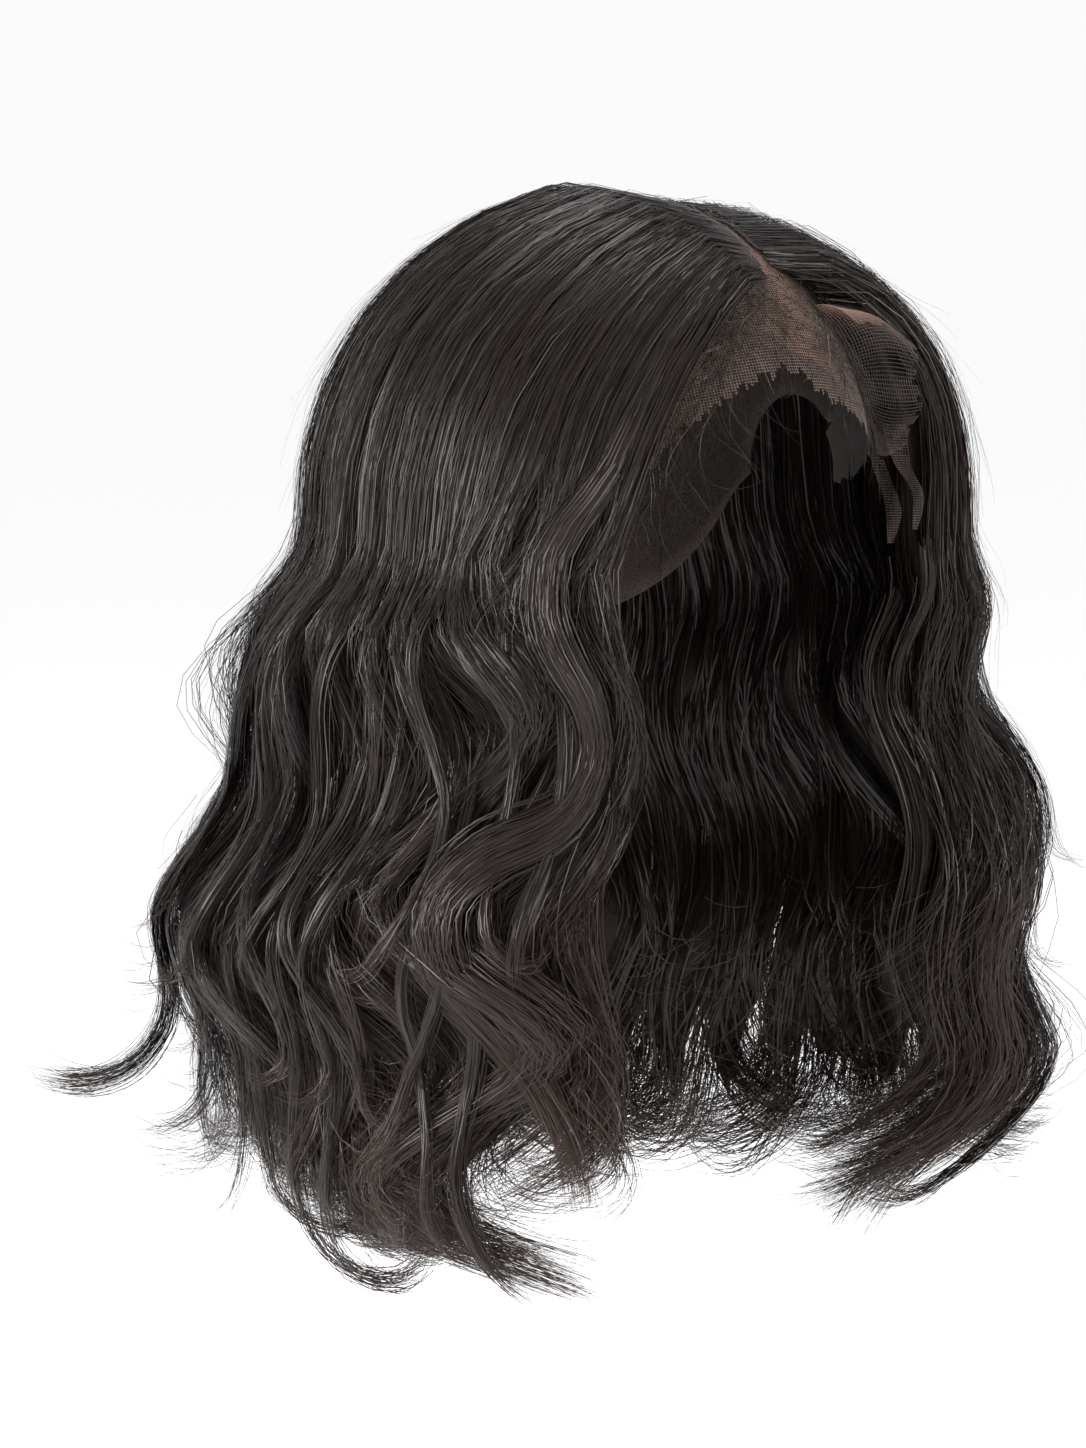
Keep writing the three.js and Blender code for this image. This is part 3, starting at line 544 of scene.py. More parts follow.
def strand_paths(section, clumps, place, random, depths, loose=2 * MM, spread=SPREAD, mixed=False):
    """Points down each strand, and the number of its clump."""
    count = len(place)
    start = random.uniform(section["from"] + 0.3, section["to"] - 0.3, count)
    clump = np.abs(start[:, None] + random.normal(0, 0.9, (count, 1)) - clumps["at"][None]).argmin(axis=1)
    own = {name: values[clump][:, None] for name, values in clumps.items()}

    # It starts where it is tied and gathers beside its clump, deeper toward the edges of its lock, so
    # that a groove shows between two locks. At the root it comes up from the cap.
    gathered = smoothstep(*GATHERS, place)
    beside = random.normal(0, 1, (count, 1)) * lerp(1.2, spread, gathered)
    azimuth = lerp(start[:, None], own["at"] + beside, gathered) + random.normal(0, 0.6, (count, 1))
    off_centre = (azimuth - own["azimuth"]) / own["half"]
    low, high = depths
    own_depth = random.random((count, 1)) if mixed else own["deep"]
    deep = low + (high - low) * own_depth + random.normal(0, 0.05, (count, 1))
    deep = lerp(random.uniform(low, min(high, low + 0.4), (count, 1)), deep, gathered)
    if high < 0.7:
        deep = deep + gathered * (own["sunk"] + 0.24 * np.clip(off_centre**2, 0, 1.5))
    stage = np.minimum(place / CROWN_SHARE, 1)
    risen = smoothstep(0, 0.16, stage - np.minimum(stage[:, :1], 0.45))
    deep = np.where(place[:, :1] < 0.15, lerp(1, deep, risen), deep).clip(-0.05, 1)

    # It ends at its lock's tip or is cut shorter, and what a hook will take from its fall is added.
    down = np.clip((place - CROWN_SHARE) / (1 - CROWN_SHARE), 0, None)
    layered = random.random((count, 1)) < LAYERED_SHARE
    layer = np.where(layered, random.uniform(*LAYERS, (count, 1)), random.uniform(*UNEVEN, (count, 1)))
    layer = layer * own["stray"]
    hook = own["hook"] + random.normal(0, OWN_HOOK, (count, 1))
    turned = np.abs(hook) + 1e-3
    lost = (1 - own["begin"]) * FALL_REACH * (1 - np.sin(np.minimum(turned, np.pi / 2)) / turned)
    end = -own["tip"] * (1 - layer) * HAIR_LENGTH - lost
    z = lerp(-HEAD[2] * fall("rim", azimuth), end, down)
    bend = np.clip((down - 0.7) / 0.3, 0, 1) ** 2
    z = z + own["rise"] * TIP_REACH * bend
    azimuth = azimuth + own["swing"] * bend
    shift = own["shift"] + random.normal(0, OWN_SHIFT, (count, 1))
    lag = own["lag"] + random.normal(0, OWN_SHIFT, (count, 1))
    points = hair_point(azimuth, deep, stage, z, shift, lag, own["strength"], own["out"] * TIP_REACH * bend)

    # The whole clump drifts a little, the roots stand irregularly, and each strand wanders by itself.
    rate, turn = own["waves"][..., 0], own["waves"][..., 1]
    clump_drift = np.sin(2 * np.pi * (place[..., None] * (0.9 + 1.3 * rate) + turn))
    points = points + clump_drift * lerp(0.2, 6, place.clip(0, 1) ** 2)[..., None] * MM
    scatter = np.abs(random.normal(0, 1, (count, 1, 2))) * ROOT_SCATTER * [1, 0.6]
    scatter[..., 0] *= np.sign(-180 - start)[:, None]
    points[..., :2] += scatter * (1 - smoothstep(0, 0.3, stage))[..., None]
    points = points + wander(place, random) * (loose * lerp(0.25, 1, place.clip(0, 1) ** 2))[..., None]
    return hooked(points, place, hook, own["heading"], own["begin"]), clump


print("of the strands,", LAYERED_SHARE, "are cut shorter, in layers")

# %% [markdown]
# ## From paths to ribbons
# A hair is about 0.07 mm thick, far too thin to show here, so each ribbon is drawn 0.2 to 0.55 mm wide
# and stands for the few hairs that cling together. Round tubes would need many more faces. A path
# becomes a chain of mesh edges that carries its thickness, its facing and its shade, and a small tree
# of Geometry Nodes turns the chains to curves and sweeps a flat profile along each. Flat ribbons with
# many random tilts catch the light as round hairs do, and cost two triangles a step.

# %% The tree that makes ribbons
def ribbon_tree(name):
    """Curves along the chains, each facing the way its points say, swept with a flat, tapering profile."""
    tree = bpy.data.node_groups.new(name, "GeometryNodeTree")
    for label, way, kind in (
        ("Geometry", "INPUT", "NodeSocketGeometry"),
        ("Width", "INPUT", "NodeSocketFloat"),
        ("Finish", "INPUT", "NodeSocketMaterial"),
        ("Geometry", "OUTPUT", "NodeSocketGeometry"),
    ):
        tree.interface.new_socket(label, in_out=way, socket_type=kind)
    given = add(tree, "NodeGroupInput")
    side = add(tree, "GeometryNodeInputNamedAttribute", {"data_type": "FLOAT_VECTOR"}, Name="side")
    taper = add(tree, "GeometryNodeInputNamedAttribute", {"data_type": "FLOAT"}, Name="taper")
    curves = add(tree, "GeometryNodeMeshToCurve", Mesh=given.outputs["Geometry"])
    facing = {"Curve": curves.outputs[0], "Normal": side.outputs[0]}
    turned = add(tree, "GeometryNodeSetCurveNormal", {"mode": "FREE"}, **facing)
    half = add(tree, "ShaderNodeMath", {"operation": "MULTIPLY"}, in0=given.outputs["Width"], in1=0.5)
    minus = add(tree, "ShaderNodeMath", {"operation": "MULTIPLY"}, in0=half.outputs[0], in1=-1.0)
    right = add(tree, "ShaderNodeCombineXYZ", X=half.outputs[0])
    left = add(tree, "ShaderNodeCombineXYZ", X=minus.outputs[0])
    profile = add(tree, "GeometryNodeCurvePrimitiveLine", Start=left.outputs[0], End=right.outputs[0])
    sweep = {"Curve": turned.outputs[0], "Profile_Curve": profile.outputs[0], "Scale": taper.outputs[0]}
    swept = add(tree, "GeometryNodeCurveToMesh", **sweep)
    smooth = add(tree, "GeometryNodeSetShadeSmooth", Geometry=swept.outputs[0])
    real = add(tree, "GeometryNodeRealizeInstances", Geometry=smooth.outputs[0])
    finished = {"Geometry": real.outputs[0], "Material": given.outputs["Finish"]}
    finish = add(tree, "GeometryNodeSetMaterial", **finished)
    add(tree, "NodeGroupOutput", Geometry=finish.outputs[0])
    return tree


RIBBONS = ribbon_tree("ribbons_along_paths")
print("nodes in the ribbon tree:", len(RIBBONS.nodes))


# %% A mesh of ribbons
def new_object(name, data):
    made = bpy.data.objects.new(name, data)
    bpy.context.scene.collection.objects.link(made)
    return made


def set_input(modifier, name, value):
    """Sets an input of the modifier's tree by the identifier of the socket with that name."""
    for item in modifier.node_group.interface.items_tree:
        if item.in_out == "INPUT" and item.name == name:
            modifier[item.identifier] = value


def ribbons(name, points, side, taper, shade, along, width, finish):
    """A plain mesh of ribbons along paths that all have the same number of points."""
    count, samples = points.shape[:2]
    mesh = bpy.data.meshes.new(name + "_paths")
    mesh.vertices.add(count * samples)
    mesh.vertices.foreach_set("co", points.astype(np.float32).ravel())
    first = (np.arange(count)[:, None] * samples + np.arange(samples - 1)[None]).ravel()
    mesh.edges.add(len(first))
    mesh.edges.foreach_set("vertices", np.stack([first, first + 1], axis=1).astype(np.int32).ravel())
    for key, kind, field, values in (
        ("side", "FLOAT_VECTOR", "vector", side),
        ("taper", "FLOAT", "value", taper),
        ("shade", "FLOAT", "value", shade),
        ("along", "FLOAT", "value", along),
    ):
        layer = mesh.attributes.new(key, kind, "POINT")
        layer.data.foreach_set(field, np.asarray(values, np.float32).ravel())
    made = new_object(name + "_paths", mesh)
    modifier = made.modifiers.new("ribbons", "NODES")
    modifier.node_group = RIBBONS
    set_input(modifier, "Width", width)
    set_input(modifier, "Finish", finish)
    evaluated = made.evaluated_get(bpy.context.evaluated_depsgraph_get())
    result = bpy.data.meshes.new_from_object(evaluated)
    bpy.data.objects.remove(made)
    result.name = name
    for key in ("side", "taper"):
        if key in result.attributes:
            result.attributes.remove(result.attributes[key])
    return result


inputs = [item.name for item in RIBBONS.interface.items_tree if item.in_out == "INPUT"]
print("inputs of the ribbon tree:", ", ".join(inputs))


# %% Strands of one section, with their facing, taper and shade
# A ribbon lies level with the hair's surface, apart from a small random tilt and twist. Loose hair may
# stray 12 mm past the solids' box, and what would stray further is drawn in.
VISUAL_MARGIN = 12 * MM
TILT, TWIST = 0.3, 0.14


def unit(vectors):
    return vectors / np.maximum(np.linalg.norm(vectors, axis=-1, keepdims=True), 1e-9)


def outward_of(points):
    centre = np.zeros_like(points)
    centre[..., 2] = np.minimum(-HEAD[2], points[..., 2])
    return unit(points - centre)


def facing(points, place, random, tilt, outward=None):
    """The direction of each ribbon's width: level with the hair's surface, turned by a random tilt."""
    ahead = unit(np.gradient(points, axis=1))
    level = unit(np.cross(ahead, outward_of(points) if outward is None else outward))
    angle = random.normal(0, tilt, (len(points), 1)) + TWIST * wander(place, random)[..., 0]
    return level * np.cos(angle)[..., None] + np.cross(ahead, level) * np.sin(angle)[..., None]


def kept_in_box(points):
    """Draws in what would stray further from the solids' box than loose hair may."""
    low, high = np.array(cad_box[0]), np.array(cad_box[1])
    over = np.maximum(points - high, 0) - np.maximum(low - points, 0)
    return np.clip(points, low, high) + VISUAL_MARGIN * np.tanh(over / VISUAL_MARGIN)


print("loose hair may stand", round(VISUAL_MARGIN / MM), "mm outside the solids' box")

# %% From strands to a mesh
STRAND_WIDTH = 0.34 * MM
INNER_WIDTH = 0.55 * MM


def hair_mesh(name, clumps, points, place, clump, random, width, tilt=TILT, outward=None):
    """Ribbons along paths: each has its clump's shade and a little of its own, and ends in a point."""
    tone = clumps["tone"][clump]
    shade = np.clip(0.2 + 0.35 * tone + random.normal(0, 0.17, len(points)), 0, 1)
    taper = np.minimum(1, 0.25 + (place[:, -1:] - place) * 5) * random.uniform(0.7, 1.25, (len(points), 1))
    points = kept_in_box(points)
    side = facing(points, place, random, tilt, outward)
    return ribbons(name, points, side, taper, shade[:, None] * np.ones_like(place), place, width, FIBRE)


def grown(name, section, clumps, count, random, width, paths, **looks):
    """Whole strands of a section, from their roots to a mesh of ribbons."""
    place = whole_length(count, random)
    points, clump = strand_paths(section, clumps, place, random, **paths)
    return hair_mesh(name, clumps, points, place, clump, random, width, **looks)


print("a strand is", round(STRAND_WIDTH / MM, 2), "mm wide, and an inner one", round(INNER_WIDTH / MM, 2))

# %% [markdown]
# ## Loose hairs
# Nothing tells real hair from a moulding as much as what doesn't lie with the rest: short frizz over
# the waves, single hairs that fly off, and wisps that bow out from the outline. They could be painted
# as noise on a surface, but the outline would stay smooth. So they are strands like the others, thinner
# and with larger wander.

# %% Frizz, wisps and flyaways
FRIZZ_WIDTH = 0.22 * MM
FLYAWAY_WIDTH = 0.2 * MM
WISP_WIDTH = 0.28 * MM
FLYAWAYS = 80
LOOSE_TILT = 0.9
WISPS = [
    {"azimuth": -127, "from": 0.36, "to": 0.62, "bulge": 19, "strands": 44},
    {"azimuth": -129, "from": 0.7, "to": 0.9, "bulge": 18, "strands": 26},
    {"azimuth": -110, "from": 0.75, "to": 0.97, "bulge": 8, "strands": 16},
    {"azimuth": -41, "from": 0.5, "to": 0.8, "bulge": 5, "strands": 14},
    {"azimuth": -305, "from": 0.6, "to": 0.78, "bulge": 10, "strands": 22},
    {"azimuth": -303, "from": 0.78, "to": 0.98, "bulge": 14, "strands": 24},
    {"azimuth": -230, "from": 0.75, "to": 0.98, "bulge": 10, "strands": 16},
]


def frizz(section, clumps, random):
    place = short_length(section["frizz"], random)
    points, clump = strand_paths(section, clumps, place, random, (-0.06, 0.12), 3 * MM, 1.1)
    along = np.linspace(0, 1, place.shape[1])[None, :, None]
    lift = random.uniform(0.5, 7, (len(place), 1, 1)) ** 1.3 * MM * 0.8
    curl = wander(place, random, 5, 11) * random.uniform(0.6, 2.4, (len(place), 1, 1)) * MM
    points = points + outward_of(points) * lift * along**1.6 + curl * along
    return hair_mesh("frizz", clumps, points, place, clump, random, FRIZZ_WIDTH, LOOSE_TILT)


def wisps(section, clumps, random):
    rows = [row for row in WISPS if section["from"] < row["azimuth"] < section["to"]]
    made = []
    for row in rows:
        narrow = {**section, "from": row["azimuth"] - 2.5, "to": row["azimuth"] + 2.5}
        place = whole_length(row["strands"], random)
        points, clump = strand_paths(narrow, clumps, place, random, (-0.05, 0.1), 3 * MM, 0.8)
        share = np.clip((place - row["from"]) / (row["to"] - row["from"]), 0, 1)
        bulge = row["bulge"] * MM * random.uniform(0.3, 1.1, (row["strands"], 1)) * np.sin(np.pi * share) ** 2
        points = points + outward_of(points) * bulge[..., None]
        made.append(hair_mesh("wisps", clumps, points, place, clump, random, WISP_WIDTH, LOOSE_TILT))
    return made


def flyaways(section, clumps, random):
    paths = {"depths": (-0.08, 0.2), "loose": 7 * MM, "spread": 1.6}
    return grown("flyaways", section, clumps, FLYAWAYS, random, FLYAWAY_WIDTH, paths, tilt=LOOSE_TILT)


print("wisps stand off at", len(WISPS), "places")

# %% [markdown]
# ## Locks that are laid over the rest
# A few locks catch the eye by themselves: the large swirl beside the face, locks that cross others and
# throw them into shadow, a flick that turns out behind the ear, open rings at the bottom, and the inner
# locks of the curtain on the wearer's left. Each follows its own few places on the way down, smoothed
# by the same curve as the tables. Chance alone would hardly ever put them where they are.

# %% The places and headings of laid locks
# A place is its way down, from 0 at the root past 1 at the rim to 2 at the full length, then its
# azimuth in degrees, its lift off the other hair and half the lock's width, both in millimetres. A
# crossing lock has an azimuth and its drift to one side.
SWIRL = [
    (0.35, -45, -1, 3), (0.7, -44.5, 0, 6), (0.88, -48.5, 1.5, 8), (1.03, -51, 3, 9),
    (1.11, -48, 3.5, 9), (1.17, -43.5, 3, 8), (1.235, -41.5, 2.5, 8), (1.3, -44, 4, 8),
    (1.335, -49, 6, 9), (1.37, -56.5, 7.5, 10), (1.43, -62, 6, 10), (1.52, -61, 3.5, 10),
    (1.6, -55, 2, 8), (1.67, -49, 1, 7), (1.75, -46, 0, 6), (1.83, -48, -1, 4),
]
SWIRL_STRANDS, CROSSING_STRANDS = 360, 46
CROSSING = {
    "hair_front_right": [(-48, -2), (-56, 5), (-63, -7), (-69, 4)],
    "hair_side_right": [(-78, -8), (-84, 7), (-90, -6), (-96, 9), (-103, -7), (-108, 5), (-113, -8)],
    "hair_back_right": [(-123, 5), (-131, -7), (-139, 8), (-148, -7)],
    "hair_front_left": [(-287, 5), (-292, -6), (-297, 6), (-302, -6), (-306, 3)],
}
FACE_EDGES = {
    "hair_front_left": {"from": -314.5, "to": -305.5, "strands": 620, "faces": -27},
    "hair_front_right": {"from": -45, "to": -39.8, "strands": 160, "faces": 52},
}
LAID_COLUMNS = (
    "section", "azimuth", "from", "to", "drift", "lift", "half", "strands", "hook", "heading", "begin",
)
LAID_ROWS = [
    ("hair_back_right", -121.5, 1.09, 1.905, 0, 3, 7, 200, 140, -126, 0.57),
    ("hair_side_right", -115, 1.3, 1.87, 0, 1, 6, 70, 112, -126, 0.68),
    ("hair_side_right", -112, 1.4, 1.9, -1, 1, 3, 34, 72, -126, 0.66),
    ("hair_side_right", -104, 1.45, 1.93, -2, 2, 3, 34, 66, -126, 0.7),
    ("hair_side_right", -99, 1.3, 2.08, 2, 2, 5, 44, 255, 54, 0.68),
    ("hair_side_right", -91, 1.3, 2.13, 2, 2, 5, 44, 235, 54, 0.7),
    ("hair_side_right", -83, 1.35, 2.1, -2, 3, 4, 40, 215, 54, 0.72),
    ("hair_front_right", -67, 1.4, 1.93, 0, 2, 3, 40, 70, 54, 0.78),
    ("hair_front_right", -61, 1.4, 1.98, 3, 1, 5, 90, 62, 54, 0.78),
    ("hair_front_left", -291, 1.3, 2.0, -4, 2, 4, 44, 190, -126, 0.68),
    ("hair_front_left", -299, 1.35, 2.06, -4, 2, 4, 44, 170, -126, 0.7),
    ("hair_front_left", -307, 1.4, 2.05, -2, 1, 7, 70, 215, -126, 0.68),
    ("hair_front_left", -313, 1.02, 1.72, 2, -30, 9, 80, 24, -126, 0.7),
    ("hair_front_left", -309, 1.04, 1.82, 0, -40, 10, 80, 30, -126, 0.75),
    ("hair_front_left", -304, 1.06, 1.9, -3, -44, 10, 80, 50, -126, 0.75),
]
print("laid locks:", len(LAID_ROWS) + 1 + sum(len(rows) for rows in CROSSING.values()))

# %% Strands that follow the places of a laid lock
LAID_SAMPLES = 30
LAID_RADIUS = 150 * MM
LAID_THICKNESS = 5
LAID_TILT = 0.35


def laid_rows(row):
    """Places down a lock that hangs with the rest and drifts to one side."""
    steps = np.linspace(0, 1, 7)
    lift = lerp(min(-6, row["lift"] + 12), row["lift"], smoothstep(0, 0.35, steps))
    turn = 2 * np.pi * (1.3 * steps + 0.1 * row["azimuth"])
    swung = row["azimuth"] + row["drift"] * steps + 1.8 * np.sin(turn)
    half = row["half"] * lerp(1, 0.35, steps)
    return np.stack([lerp(row["from"], row["to"], steps), swung, lift, half], axis=1)


def laid_lock(rows, count, random, hook, heading, begin):
    """Strands of one lock that keeps to its own path."""
    place = np.linspace(0, 1, LAID_SAMPLES)[None, :] * np.ones((count, 1))
    place = lerp(random.uniform(0, 0.08, (count, 1)), random.uniform(0.86, 1, (count, 1)), place)
    keys = np.linspace(0, 1, len(rows))
    way, azimuth, lift, half = (spline(keys, column, place) for column in zip(*rows))
    level = np.gradient(np.radians(azimuth) * LAID_RADIUS, axis=1)
    fallen = np.gradient(-way * (HAIR_LENGTH - FULLEST), axis=1)
    long = np.hypot(level, fallen)
    hanging = smoothstep(1, 1.1, way)
    across = random.normal(0, 0.5, (count, 1)).clip(-1.2, 1.2) + 0.12 * wander(place, random)[..., 0]
    offset = across * half * MM
    azimuth = azimuth + np.degrees(offset * lerp(-1, fallen / long, hanging) / LAID_RADIUS)
    stage = np.minimum(way, 1)
    z = lerp(-HEAD[2] * fall("rim", azimuth), -HAIR_LENGTH, (way - 1).clip(0))
    z = z - offset * level / long * hanging
    deep = random.random((count, 1)) ** 1.5 * LAID_THICKNESS
    out = (lift + 2 * (1 - across**2) - deep) * MM
    points = hair_point(azimuth, 0, stage, z, strength=0.7, out=out, sway=0)
    points = points + wander(place, random) * lerp(0.3, 2.2, place**2)[..., None] * MM
    turn = hook + random.normal(0, OWN_HOOK, (count, 1))
    toward = np.radians(heading + random.normal(0, 8, (count, 1)))
    return hooked(points, place, turn, toward, begin + random.normal(0, 0.01, (count, 1))), place


print("points down a laid strand:", LAID_SAMPLES)


# %% Locks that cross the others, and all the laid locks of a section
def crossing_rows(azimuth, drift, random):
    """Places of a lock that crosses the others where chance puts it, and dips in at both its ends."""
    first = random.uniform(1.04, 1.3)
    last = min(first + random.uniform(0.4, 0.62), 1.84)
    swing, phase = random.uniform(2.5, 5), random.random()
    steps = np.linspace(0, 1, 9)
    wave = swing * (0.4 + 0.6 * steps) * np.sin(2 * np.pi * (1.15 * steps + phase))
    swung = azimuth + drift * (steps - 0.3) + wave
    lift = -5 + 9.5 * np.sin(np.pi * np.minimum(steps * 1.25, 0.62))
    half = 4.6 - 2.6 * steps
    return np.stack([lerp(first, last, steps), swung, lift, half], axis=1)


def laid_locks(section, random):
    """The section's crossing locks, the large swirl beside the face, and the locks of the table."""
    name = section["name"]
    made = []
    for row in CROSSING.get(name, []):
        hook = random.uniform(1.2, 3.4)
        rows = crossing_rows(*row, random)
        made.append((rows, CROSSING_STRANDS, hook, random.choice([54, 54, -126]), 0.8))
    if name == "hair_front_right":
        made.append((SWIRL, SWIRL_STRANDS, 0.5, 54, 0.8))
    for values in LAID_ROWS:
        row = dict(zip(LAID_COLUMNS, values))
        if row["section"] == name:
            hook = math.radians(row["hook"])
            made.append((laid_rows(row), row["strands"], hook, row["heading"], row["begin"]))
    faces = FACE_EDGES.get(name, {}).get("faces")
    meshes = []
    for rows, count, hook, heading, begin in made:
        points, place = laid_lock(rows, count, random, hook, heading, begin)
        own = {"tone": random.uniform(0.1, 0.7, 1)}
        outward = polar(faces, 1.0, 0.0) if rows[-1][2] < -20 else None
        clump = np.zeros(count, int)
        mesh = hair_mesh("laid", own, points, place, clump, random, STRAND_WIDTH, LAID_TILT, outward)
        meshes.append(mesh)
    return meshes


print("strands of the swirl:", SWIRL_STRANDS)

# %% [markdown]
# ## The matted depths under the strands
# Between its outside and its inside, hair is packed so closely that no light passes. Filling that with
# strands would take many millions of faces that nobody sees. A closed, dark shell under the outer
# strands stands for them, with a groove between one lock and the next. It is flush with the cap at the
# roots and ends in points above the tips, where the hair thins out and one can see through.

# %% A closed shell under each section's strands
SHELL_COLUMNS, SHELL_ROWS = 24, 44
SHELL_MARGIN = 0.8
FACE_MARGINS = {"hair_front_left": (9, SHELL_MARGIN), "hair_front_right": (SHELL_MARGIN, 4)}
MM_PER_DEGREE = 2.4


def shell_mesh(section):
    before, after = FACE_MARGINS.get(section["name"], (SHELL_MARGIN, SHELL_MARGIN))
    low, high = section["from"] + before, section["to"] - after
    azimuth = np.linspace(low, high, SHELL_COLUMNS + 1)[None, :]
    down = np.linspace(0, 1, SHELL_ROWS + 1)[:, None]
    stage = np.minimum(down / CROWN_SHARE, 1)
    share = np.clip((down - CROWN_SHARE) / (1 - CROWN_SHARE), 0, 1)
    nearest = np.abs(azimuth[..., None] - LOCKS["azimuth"]).argmin(axis=-1)
    off = (azimuth - LOCKS["azimuth"][nearest]) / LOCKS["half"][nearest]
    # Its lower end is longest in the middle of a lock. Its outside sinks between locks, and both faces
    # close in toward the ends. The numbers are shares of the depth between outside and inside.
    uneven = 8 * MM * np.sin(azimuth * 0.7) - 26 * MM * (1 - np.abs(off).clip(0, 1) ** 1.4) + 8 * MM
    z = lerp(-HEAD[2] * fall("rim", azimuth), -section["shell_end"] + uneven, share)
    shift = spline(LOCKS["azimuth"][::-1], LOCKS["shift"][::-1], azimuth)
    close = smoothstep(0.7, 1, down)
    outside = lerp(0.36 + 0.16 * off**2 * smoothstep(0.2, 0.5, down), 0.64, close)
    outside = lerp(0.95, outside, smoothstep(0.03, 0.32, stage))
    inside = np.maximum(lerp(0.86, 0.7, close), outside + 0.03)
    grid = np.stack([
        hair_point(azimuth, outside, stage, z, shift),
        hair_point(azimuth, inside, stage, z, shift),
    ])
    mesh = closed_sheet("depths", grid, DEPTHS)
    for key, values in (("across", azimuth * MM_PER_DEGREE), ("along", down)):
        layer = mesh.attributes.new(key, "FLOAT", "POINT")
        every = np.broadcast_to(values, grid.shape[:3])
        layer.data.foreach_set("value", every.astype(np.float32).ravel())
    return mesh


print("columns and rows of a shell:", SHELL_COLUMNS, SHELL_ROWS)


# %% A closed sheet between two grids of points
def closed_sheet(name, grid, finish):
    """Closed mesh from an outer and an inner grid of points, joined round their edges."""
    rows, columns = grid.shape[1:3]
    number = np.arange(grid.shape[0] * rows * columns).reshape(grid.shape[:3])
    outer, inner = number[0], number[1]
    faces = []
    for j in range(rows - 1):
        for i in range(columns - 1):
            faces.append((outer[j, i], outer[j + 1, i], outer[j + 1, i + 1], outer[j, i + 1]))
            faces.append((inner[j, i], inner[j, i + 1], inner[j + 1, i + 1], inner[j + 1, i]))
    for i in range(columns - 1):
        faces.append((outer[0, i], outer[0, i + 1], inner[0, i + 1], inner[0, i]))
        faces.append((outer[-1, i], inner[-1, i], inner[-1, i + 1], outer[-1, i + 1]))
    for j in range(rows - 1):
        faces.append((outer[j, 0], inner[j, 0], inner[j + 1, 0], outer[j + 1, 0]))
        faces.append((outer[j, -1], outer[j + 1, -1], inner[j + 1, -1], inner[j, -1]))
    mesh = bpy.data.meshes.new(name)
    mesh.from_pydata(grid.reshape(-1, 3).tolist(), [], [tuple(int(v) for v in face) for face in faces])
    mesh.materials.append(finish)
    mesh.polygons.foreach_set("use_smooth", [True] * len(mesh.polygons))
    mesh.update()
    return mesh


print("quads in one section's shell:", 2 * (SHELL_COLUMNS * SHELL_ROWS + SHELL_COLUMNS + SHELL_ROWS))

# %% [markdown]
# ## From meshes to pieces
# Each section of hair is one piece that rides on the wig's body and stands for the section's plain
# solid. The strands, the shell and the loose hairs could be pieces of their own, but on the real wig
# none of them can be handled alone, so they are joined.

# %% Join meshes into one piece that stands for its node
def piece(name, meshes, replaced):
    parts = [new_object(f"{name}_{i}", mesh) for i, mesh in enumerate(meshes)]
    bpy.ops.object.select_all(action="DESELECT")
    for part in parts:
        part.select_set(True)
    bpy.context.view_layer.objects.active = parts[0]
    if len(parts) > 1:
        bpy.ops.object.join()
    whole = bpy.context.view_layer.objects.active
    whole.name = name
    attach(whole, "root")
    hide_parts(replaced)
    triangles = sum(len(face.vertices) - 2 for face in whole.data.polygons)
    print(name, "has", triangles, "triangles")
    return triangles


# %% Dress every section
total = 0
for number, section in enumerate(SECTIONS):
    random = np.random.default_rng(100 + number)
    clumps = section_clumps(section, random)
    paths = {"depths": (0, 0.5)}
    outer = grown("outer", section, clumps, section["outer"], random, STRAND_WIDTH, paths)
    paths = {"depths": (0.86, 1.0), "loose": 2.5 * MM, "spread": 1.5}
    inner = grown("inner", section, clumps, section["inner"], random, INNER_WIDTH, paths, tilt=0.5)
    loose = [frizz(section, clumps, random), flyaways(section, clumps, random)]
    loose += wisps(section, clumps, random) + laid_locks(section, random)
    if section["name"] in FACE_EDGES:
        edge = {**section, **FACE_EDGES[section["name"]]}
        paths = {"depths": (0.05, 1), "spread": 0.7, "mixed": True}
        looks = {"tilt": 0.5, "outward": polar(edge["faces"], 1.0, 0.0)}
        loose.append(grown("edge", edge, clumps, edge["strands"], random, STRAND_WIDTH, paths, **looks))
    meshes = [outer, inner, shell_mesh(section)] + loose
    total += piece("waved_" + section["name"], meshes, section["name"])
print("all hair:", total, "triangles")

# %% [markdown]
# ## The lace front
# The hair of the front is tied by hand into a fine mocha net with holes of about a millimetre. Its
# front edge was cut ragged, and at the wearer's left temple a corner of it has lifted off and torn into
# two strips. A net could be a picture with holes on a smooth sheet, but it would show at the ragged edge
# and where it folds. So each thread is a ribbon of its own, over the solids' surfaces, and one sees
# through the holes. Behind the edge, under the hair, the holes are drawn coarser to spare faces.

# %% The surfaces that the net lies on
# The edge and the hem pair degrees to the side with degrees forward or back. A depth is a share of the
# form's height, and a reach, bulge or width a share of FLAP_REACH or STRIP_WIDTH.
LACE_EDGE = ([-77, -65, -46, -31, -12, 2, 11, 24, 46, 65, 77], [115, 95, 88, 75, 67, 65, 70, 73, 80, 90, 111])
CAP_HEM = ([-74, -60, -40, 0, 40, 60, 74], [97, 121, 129, 127, 129, 121, 97])
FLAP_COLUMNS = ("azimuth", "depth", "edgeAzimuth", "edgeDepth", "reach", "bulge")
FLAP_ROWS = [
    (23, 0.36, 25, 0.43, 0.5, 0.14),
    (29, 0.46, 33, 0.46, 0.98, 0.25),
    (31, 0.57, 35, 0.57, 1, 0.14),
    (33, 0.68, 35.5, 0.71, 0.86, -0.11),
    (35, 0.78, 35, 0.83, 0.62, -0.18),
    (37, 0.86, 36, 0.9, 0.35, -0.11),
]
STRIP_COLUMNS = ("azimuth", "depth", "reach", "width")
